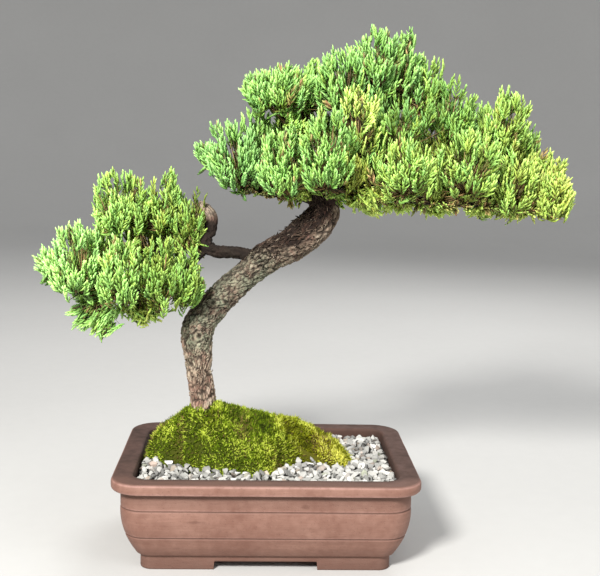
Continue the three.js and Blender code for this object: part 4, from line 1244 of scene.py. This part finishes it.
def barkStrands(draw):
    # loose fibres lying along the upper trunk and small flakes standing off it everywhere
    path = np.array(wood["trunk"], dtype=float)
    fibres, flakes = wood["fibres"], wood["flakes"]

    def each(fibre, flake):
        # a draw for every fibre, then one for every flake, between their own limits
        return np.concatenate([draw.uniform(*fibre, fibres), draw.uniform(*flake, flakes)])

    place = each((0.64, 0.97), (0.12, 0.95))
    centres = curveThrough(path[:, :3], place)
    further = curveThrough(path[:, :3], np.minimum(place + 0.01, 1))
    ahead = unit(further - curveThrough(path[:, :3], place - 0.01))
    radius = np.interp(place * (len(path) - 1), np.arange(len(path)), path[:, 3])
    side = unit(np.cross(ahead, np.array([0.0, 1.0, 0.0])))
    third = np.cross(ahead, side)
    angle = draw.uniform(0, 2 * math.pi, len(place))
    # most fibres sit on the trunk's upper left flank
    flank = np.array([-0.6, -0.35, 0.75])
    angle[:fibres] = (np.arctan2(third @ flank, side @ flank) + draw.normal(0, 0.7, len(place)))[:fibres]
    out = side * np.cos(angle)[:, None] + third * np.sin(angle)[:, None]
    length = each((2.5, 7), (2, 4.5))[:, None]
    lift = each((-0.2, 0.7), (0.1, 0.8))[:, None]
    sway = draw.normal(0, 0.6, (len(place), 3))
    start = centres + out * (radius[:, None] - 0.3)
    direction = unit(ahead * np.where(draw.uniform(0, 1, (len(place), 1)) < 0.5, 1, -1) + sway)
    direction = unit(direction - 0.8 * out * np.sum(direction * out, -1, keepdims=True))
    bend = start + direction * length * 0.5 + out * (lift + 0.6)
    end = start + direction * length + out * lift
    points, faces, step = thinTubes(start, bend, end, each((0.4, 1.1), (0.25, 0.55)), 3, 4)
    tone = each((0.0, 0.75), (0.3, 1.0))
    dark = np.concatenate([draw.uniform(0.6, 1.0, fibres), np.zeros(flakes)])
    shade = np.stack([np.zeros(len(place)), tone, dark, np.ones(len(place))], -1)
    return points, faces, np.repeat(shade, step, axis=0)


makeTrunk()
print("trunk and limbs made")


# foliage

foliage = {
    "seed": 3,
    "shootLength": 6.8, "shootRadius": 0.93, "betweenTimes": 2, "limbSprays": 24, "bridgeSprays": 8,
    "bridgeReach": 66,
    "splay": 1.15,  # how far sprays lean outwards from the sky's way
    "upright": 0.3,  # how much a blue-green shoot swings round to its stem's way
    "spread": (28, 60), "leadingSpread": (-8, 8),  # degrees from a spray's stem to its shoots
    "stemRadius": (0.45, 0.8), "limbReach": (6, 11), "bridgeRise": (5, 13), "bridgeLength": 13,
    # stand is how far a spray's foot lies from its end
    # a habit's light is painted light: inner sprays are painted darker, as shade deep in a bough
    "habits": {
        "main": {"shoots": 9, "size": 1.0, "sides": 4, "forks": 2,
                 "tone": 0.0, "fresh": 1.0, "dead": 0.012, "light": 1.0, "stand": (12, 17)},
        "side": {"shoots": 8, "size": 0.95, "sides": 3, "forks": 1,
                 "tone": 0.04, "fresh": 0.9, "dead": 0.02, "light": 0.95, "stand": (11, 15)},
        "low": {"shoots": 7, "size": 0.9, "sides": 3, "forks": 0,
                "tone": 0.2, "fresh": 0.9, "dead": 0.1, "light": 0.85},
        "inner": {"shoots": 5, "size": 0.9, "sides": 3, "forks": 0,
                  "tone": 0.2, "fresh": 0.3, "dead": 0.14, "light": 0.4, "stand": (8, 11)},
    },
    # boughs whose low sprays are partly dry and brown, and half as many of their inner ones
    "dry": {
        "left_low": 0.55, "left_mid": 0.7, "left_front": 0.6, "drop_first": 0.5, "right_low": 0.55,
        "right_mid": 0.4, "right_front": 0.45, "centre_low": 0.4, "centre_dark": 0.45, "shoulder_right": 0.4,
        "centre_high": 0.4, "pad_foot": 0.3, "pad_right": 0.3,
    },
    # further low sprays where a limb would show bare
    "cover": {"centre_low": 20, "right_front": 30, "right_mid": 8},
    # shoots grow only where a bough's tips stand this far above its foot, in millimetres
    "rise": {"left_low": 5, "left_front": 5, "left_mid": 4, "pad_elbow": 7},
    # 0 is blue-green, 0.5 green, 1 yellow-green
    "tones": {
        "tip_left": 0.12, "left_low": 0.1, "left_mid": 0.25, "left_front": 0.28, "shelf_left": 0.28,
        "shelf_mid": 0.30, "shelf_right": 0.37, "fan_front": 0.30, "crown_left": 0.26, "crown_top": 0.22,
        "crown_right": 0.25, "gold_mid": 0.66, "centre_high": 0.4, "centre_low": 0.5,
        "shoulder_high": 0.42, "shoulder": 0.38, "shoulder_right": 0.48, "right_high": 0.52,
        "right_spike": 0.50, "right_front": 0.50, "right_mid": 0.62, "right_end": 0.75, "right_low": 0.74,
        "centre_dark": 0.8, "drop_left": 0.66, "drop_mid": 0.72, "drop_right": 0.74, "drop_end": 0.74,
        "pad_tip": 0.2, "pad_left": 0.24, "pad_foot": 0.3, "pad_under": 0.66, "pad_spike": 0.44,
        "pad_high": 0.50, "pad_crest": 0.52, "pad_right": 0.50, "under_front": 0.9, "drop_first": 0.7,
        "drop_tip": 0.8, "pad_front": 0.4, "pad_middle": 0.50, "pad_elbow": 0.50,
    },
    "otherTone": 0.5,
    # 1 is usual; partly painted light: boughs that stand in the others' shade are painted less fresh and
    # darker, and those in the sun fresher and lighter
    "vigourAndBrightness": {
        "gold_mid": 1.8, "pad_left": 1.6, "pad_tip": 1.5, "pad_foot": 1.25, "pad_front": 1.2,
        "pad_spike": 1.15, "centre_high": 0.7, "centre_low": 1.05, "centre_dark": 0.3, "pad_right": 0.65,
        "pad_middle": 0.75, "pad_elbow": 0.7, "pad_crest": 0.85, "pad_high": 0.85, "shoulder": 0.75,
        "under_front": 0.35, "drop_left": 0.95, "back_centre": 0.6, "drop_mid": 1.2, "drop_right": 1.2,
        "drop_end": 1.15, "drop_tip": 1.1,
    },
    # share of the sprays left out where the crown is open and its dark inside shows
    "open": {
        "centre_high": 0.45, "centre_low": 0.45, "centre_dark": 0.4, "back_centre": 0.3, "shoulder": 0.25,
        "shoulder_right": 0.3, "right_front": 0.3, "right_mid": 0.3, "right_low": 0.3, "right_high": 0.2,
        "right_end": 0.2, "pad_right": 0.4, "pad_middle": 0.4, "pad_elbow": 0.35, "pad_high": 0.3,
        "pad_crest": 0.3, "pad_front": 0.25, "pad_left": 0.2, "pad_spike": 0.2,
    },
}


def shootTemplate(sides, forks):
    # three rings, the middle one turned half a step, close in a point; each fork is a three-sided spike
    faces = []
    for k in range(sides):
        after = (k + 1) % sides
        faces += [[k, after, sides + k], [after, sides + after, sides + k]]
        faces += [[sides + k, sides + after, 2 * sides + after]]
        faces += [[sides + k, 2 * sides + after, 2 * sides + k]]
        faces += [[2 * sides + k, 2 * sides + after, 3 * sides]]
    faces += [[0, k + 1, k] for k in range(1, sides - 1)]
    for fork in range(forks):
        first = 3 * sides + 1 + 4 * fork
        faces += [[first + k for k in corner] for corner in ((0, 1, 3), (1, 2, 3), (2, 0, 3), (0, 2, 1))]
    return np.array(faces)


def growShoots(draw, base, ahead, length, radius, lean, sides, forks):
    # middle line: base + L (t ahead + t^2 lean); ring corners stand off it by the radius times 0.7, 1, 0.62;
    # a fork leaves the line part way and ends 0.34 L further on and 0.24 L to one side
    count = len(base)
    side = unit(np.cross(ahead, np.array([0.43, -0.57, 0.31])))
    third = np.cross(ahead, side)

    def lineAt(t):
        # base + L (t ahead + t^2 lean)
        return base + length[:, None] * (t * ahead + t ** 2 * lean)

    parts, along = [], []
    for number, (t, width) in enumerate(zip((0, 0.42, 0.84), (0.7, 1.0, 0.62))):
        circle = ringOf(side, third, (np.arange(sides) + 0.5 * (number % 2))[None] * (2 * math.pi / sides))
        parts.append(lineAt(t)[:, None] + circle * (width * radius[:, None, None]))
        along += [t] * sides
    parts.append(lineAt(1.0)[:, None])
    along.append(1.0)
    turn = draw.uniform(0, 2 * math.pi, (count, 1))
    for number in range(forks):
        t = 0.3 + 0.26 * number
        way = ringOf(side, third, turn + math.pi * number)[:, 0]
        circle = ringOf(side, third, turn + np.arange(3)[None] * 2 * math.pi / 3)
        foot = lineAt(t)[:, None] + circle * (0.7 * radius[:, None, None])
        parts += [foot, (lineAt(t + 0.34) + 0.24 * length[:, None] * way)[:, None]]
        along += [t] * 3 + [min(1.0, t + 0.5)]
    points = np.concatenate(parts, 1)
    size = points.shape[1]
    faces = repeated(shootTemplate(sides, forks), size, count)
    return points.reshape(-1, 3), faces, np.tile(along, count), size


def growSprays(draw, starts, ends, upward, shoots, size, upright):
    # a spray: shoots stand to the left and right of a stem in one plane and close with a leading one;
    # the stem is start (1-s)^2 + 2 s (1-s) bend + s^2 end with its bend pulled square to the upward way
    count = len(starts)
    chord = ends - starts
    reach = np.linalg.norm(chord, axis=1, keepdims=True)
    level = unit(chord - upward * np.sum(chord * upward, -1, keepdims=True))
    bend = starts + 0.5 * chord + level * reach * 0.12
    normal = unit(np.cross(chord, draw.normal(0, 1, (count, 3))))
    s = np.linspace(0.12, 1.0, shoots)[None, :, None]
    base = (1 - s) ** 2 * starts[:, None] + 2 * s * (1 - s) * bend[:, None] + s ** 2 * ends[:, None]
    ahead = unit(2 * (1 - s) * (bend - starts)[:, None] + 2 * s * (ends - bend)[:, None])
    across = unit(np.cross(normal[:, None] + 0 * ahead, ahead))
    sign = np.where(np.arange(shoots) % 2 == 0, 1.0, -1.0)[None, :, None]
    spread = np.radians(draw.uniform(*foliage["spread"], (count, shoots, 1)))
    spread[:, -1] = np.radians(draw.uniform(*foliage["leadingSpread"], (count, 1)))
    way = ahead * np.cos(spread) + sign * across * np.sin(spread)
    way = unit(way + draw.normal(0, 0.13, (count, shoots, 3)))
    lean = (0.22 + upright) * (ahead - way) + 0.16 * upward[:, None]
    length = size * draw.uniform(0.72, 1.25, (count, shoots)) * (1.1 - 0.32 * s[..., 0])
    owner = np.repeat(np.arange(count), shoots)
    return base.reshape(-1, 3), way.reshape(-1, 3), length.ravel(), lean.reshape(-1, 3), owner


def makeFoliageMaterial():
    # old green to fresh tips along each tone, with flecks, brown where it is dead; shoots differ in lightness
    # and painted shade
    material, tree, shader, place = newMaterial("scaleFoliage", 0.5, 0.35)
    growth, dead = painted(tree, "growth"), painted(tree, "dead")
    old = ramp(tree, growth["Red"], [(0, (74, 128, 54)), (0.35, (92, 143, 50)), (0.65, (118, 150, 46)),
                                     (1, (150, 158, 50))])
    young = ramp(tree, growth["Red"], [(0, (196, 250, 154)), (0.35, (204, 251, 140)), (0.65, (222, 250, 128)),
                                       (1, (240, 248, 142))])
    colour = blendColour(tree, growth["Green"], old, young)
    colour = tint(tree, mottle(tree, place, 900.0, 2600.0, 0.4, 0.4, 0.66), 0.22, colour, linear(44, 84, 40))
    brown = ramp(tree, dead["Green"], [(0, (62, 42, 30)), (0.5, (118, 84, 56)), (1, (176, 138, 98))])
    colour = blendColour(tree, dead["Red"], colour, brown)
    # blue multiplies the colour: each shoot's own lightness with painted shade
    colour = blendColour(tree, 1.0, colour, mapRange(tree, growth["Blue"], 0.0, 1.0, 0.52, 1.5), "MULTIPLY")
    scales = put(tree, "ShaderNodeTexVoronoi", {"Vector": place, "Scale": 900.0}).outputs["Distance"]
    coat(tree, shader, colour, scales, 0.35, 0.0004)
    return material


def spraysOf(name, bough, draw):
    # every spray of a bough as kind, start, end and upward way; a main one for each of the solid's shoots
    # that stands high enough and isn't drawn to be left out
    tips, core, foot, middle, axis = (bough[k] for k in ("tips", "core", "foot", "middle", "axis"))
    if not bough["hangs"]:
        tips = tips[tips[:, 2] > foot[2] + foliage["rise"].get(name, -3)]
    tips = tips[draw.uniform(0, 1, len(tips)) >= foliage["open"].get(name, 0.0)]
    heart = foot + 0.42 * (middle - foot)
    sky = np.array([0.0, 0.0, 1.0])
    # how much a bough's own way counts against the sky's: hanging ones keep theirs
    lift = unit((1.1 if bough["hangs"] else 0.8) * axis + sky)
    # yellow-green boughs are less orderly
    unruly = 0.8 + foliage["tones"].get(name, foliage["otherTone"]) + 0.4 * bough["hangs"]

    def standing(kind, ends, grow):
        # sprays stand like shingles: each rises to its end along its own way
        reach = draw.uniform(*foliage["habits"][kind]["stand"], (len(ends), 1))
        return kind, ends - grow * reach + draw.normal(0, 1.2, ends.shape), ends, grow

    outward = unit(tips - heart)
    grow = unit(foliage["splay"] * outward + lift + draw.normal(0, 0.22 * unruly, tips.shape))
    ends = tips - grow * foliage["shootLength"] * draw.uniform(0.9, 1.4, (len(tips), 1))
    yield standing("main", ends, grow)

    # between each shoot and one of its four nearest: about half-way, a little shorter
    spacing = np.linalg.norm(tips[:, None] - tips[None], axis=-1)
    nearest = np.argsort(spacing, axis=1)[:, 1:5]
    for _ in range(foliage["betweenTimes"]):
        mate = nearest[np.arange(len(tips)), draw.integers(0, nearest.shape[1], len(tips))]
        share = draw.uniform(0.3, 0.7, (len(tips), 1))
        spot = (1 - share) * tips + share * tips[mate] + draw.normal(0, 1.4, tips.shape)
        away = unit(spot - heart)
        grow = unit(foliage["splay"] * away + lift + draw.normal(0, 0.34 * unruly, spot.shape))
        ends = spot - away * draw.uniform(1.5, 8, (len(tips), 1)) - grow * 3
        yield standing("side", ends, grow)

    # inner sprays stand on the core and fill the depth behind
    away = unit(core - heart)
    grow = unit(away + lift)
    ends = heart + 1.05 * (core - heart)
    yield standing("inner", ends, grow)

    # low sprays leave the limb near the bough's foot all round
    limb = limbPoints[np.argsort(np.linalg.norm(limbPoints - foot, axis=1))[:14]]
    count = foliage["limbSprays"] + foliage["cover"].get(name, 0)
    starts = limb[draw.integers(0, len(limb), count)] + draw.normal(0, 1.0, (count, 3)) + (0, -1.5, -0.5)
    run = unit(limb[-1] - limb[0] + 1e-3)
    way = draw.normal(0, 1, (count, 3)) + (0, -0.9, 0.25)
    way = way - 0.85 * run * np.sum(way * run, -1, keepdims=True)
    if not bough["hangs"]:
        down = 0.05 if name in foliage["rise"] else 0.4
        way[:, 2] = np.where(way[:, 2] < 0, down * way[:, 2], way[:, 2])
    way = unit(way)
    ends = starts + way * draw.uniform(*foliage["limbReach"], (count, 1))
    yield "low", starts, ends, unit(way + 0.7 * sky)

    # bridges stand between this bough and each neighbour and hide the valley
    for other, place in bough["neighbours"]:
        count = foliage["bridgeSprays"]
        share = draw.uniform(0.25, 0.75, (count, 1))
        ends = (1 - share) * middle + share * place + draw.normal(0, 5, (count, 3))
        grow = unit(unit(axis + boughs[other]["axis"]) + sky + draw.normal(0, 0.5, (count, 3)))
        ends = ends + grow * draw.uniform(*foliage["bridgeRise"], (count, 1))
        yield "side", ends - grow * foliage["bridgeLength"], ends, grow


def withDead(growth, deadShare, light):
    # the growth colour's four numbers, then the dead colour's: share, light, none and full
    dead = np.stack([deadShare, light, np.zeros(len(light)), np.ones(len(light))], -1)
    return np.concatenate([growth, dead], 1)


def makeBough(name, bough, material, number):
    # sprays of every kind with their shades, then a woody stem from the bough's foot to each spray
    draw = np.random.default_rng(foliage["seed"] * 1000 + number)
    tone = foliage["tones"].get(name, foliage["otherTone"])
    vigourAndBrightness = foliage["vigourAndBrightness"].get(name, 1.0)
    parts, stemEnds = [], []
    for kind, starts, ends, upward in spraysOf(name, bough, draw):
        habit = foliage["habits"][kind]
        size = foliage["shootLength"] * habit["size"]
        base, way, length, lean, owner = growSprays(draw, starts, ends, upward, habit["shoots"], size,
                                                    foliage["upright"] * (1 - tone))
        count, sprays = len(base), len(starts)
        radius = foliage["shootRadius"] * draw.uniform(0.82, 1.12, count)
        points, faces, along, step = growShoots(draw, base, way, length, radius, lean, habit["sides"],
                                                habit["forks"])
        shootTone = tone + habit["tone"] + draw.normal(0, 0.1, sprays)[owner] + draw.normal(0, 0.06, count)
        # fresher towards a spray's end
        fresh = habit["fresh"] * (np.tile(np.linspace(0.5, 1.0, habit["shoots"]), sprays) * vigourAndBrightness)
        fresh = fresh * draw.uniform(0.75, 1.0, sprays)[owner] * draw.uniform(0.85, 1.0, count)
        dryness = foliage["dry"].get(name, 0.0) * {"low": 1.0, "inner": 0.5}.get(kind, 0.0)
        deadSpray = (draw.uniform(0, 1, sprays) < habit["dead"] + dryness)[owner]
        deadSpray = deadSpray * draw.uniform(0.5, 1, count)
        deadShoot = (draw.uniform(0, 1, count) < 0.01) * 0.8
        gone = np.repeat(np.maximum(deadSpray, deadShoot), step)
        # painted shade: inner and low sprays and boughs of low vigour are darker, each shoot darker at its
        # foot than its tip
        lit = habit["light"] * min(1, 0.3 + 0.7 * vigourAndBrightness)
        light = np.repeat(draw.uniform(0.0, 1.0, count) * lit, step)
        growth = np.stack([np.clip(np.repeat(shootTone, step) + 0.18 * (0.5 - along), 0, 1),
                           np.repeat(fresh, step) * (0.15 + 0.85 * along ** 1.3),
                           0.61 * light + 0.39 * lit * along, np.ones(count * step)], -1)
        parts.append((points, faces, withDead(growth, gone, light)))
        stemEnds.append(starts + 0.3 * (ends - starts))

    stemEnds = np.concatenate(stemEnds)
    stemStarts = bough["foot"] + 0.25 * (bough["middle"] - bough["foot"])
    stemStarts = stemStarts + draw.normal(0, 0.8, stemEnds.shape)
    stemBends = (stemStarts + stemEnds) / 2 - bough["axis"] * 2.0 + draw.normal(0, 1.0, stemEnds.shape)
    radii = draw.uniform(*foliage["stemRadius"], len(stemEnds))
    points, faces, step = thinTubes(stemStarts, stemBends, stemEnds, radii, 3, 3)
    light = np.repeat(draw.uniform(0, 0.8, len(stemEnds)), step)
    growth = np.stack([np.full(len(points), tone), light * 0.3, light, np.ones(len(points))], -1)
    parts.append((points, faces, withDead(growth, np.full(len(points), 0.9), light)))

    points, faces, shades = joinParts(parts)
    makePiece("foliage_" + name, points, faces, material, True,
              {"growth": shades[:, :4], "dead": shades[:, 4:]}, ["bough_" + name])
    return len(faces)


def findNeighbours():
    # each pair of boughs whose middles lie close together is named once, at the first of the two
    names = sorted(boughs)
    for k, name in enumerate(names):
        near = []
        for other in names[k + 1:]:
            distance = np.linalg.norm(boughs[name]["middle"] - boughs[other]["middle"])
            hangs = boughs[name]["hangs"] or boughs[other]["hangs"]
            together = name.startswith("pad") == other.startswith("pad")
            if distance < foliage["bridgeReach"] and together and not hangs:
                near.append((other, boughs[other]["middle"]))
        boughs[name]["neighbours"] = near


def makeFoliage():
    # every bough in the order of its name, with one material for all
    material = makeFoliageMaterial()
    findNeighbours()
    total = 0
    for number, (name, bough) in enumerate(sorted(boughs.items())):
        total += makeBough(name, bough, material, number)
    print("foliage made:", len(boughs), "boughs,", total, "triangles")


makeFoliage()


# the scene brought up to date

bpy.context.view_layer.update()
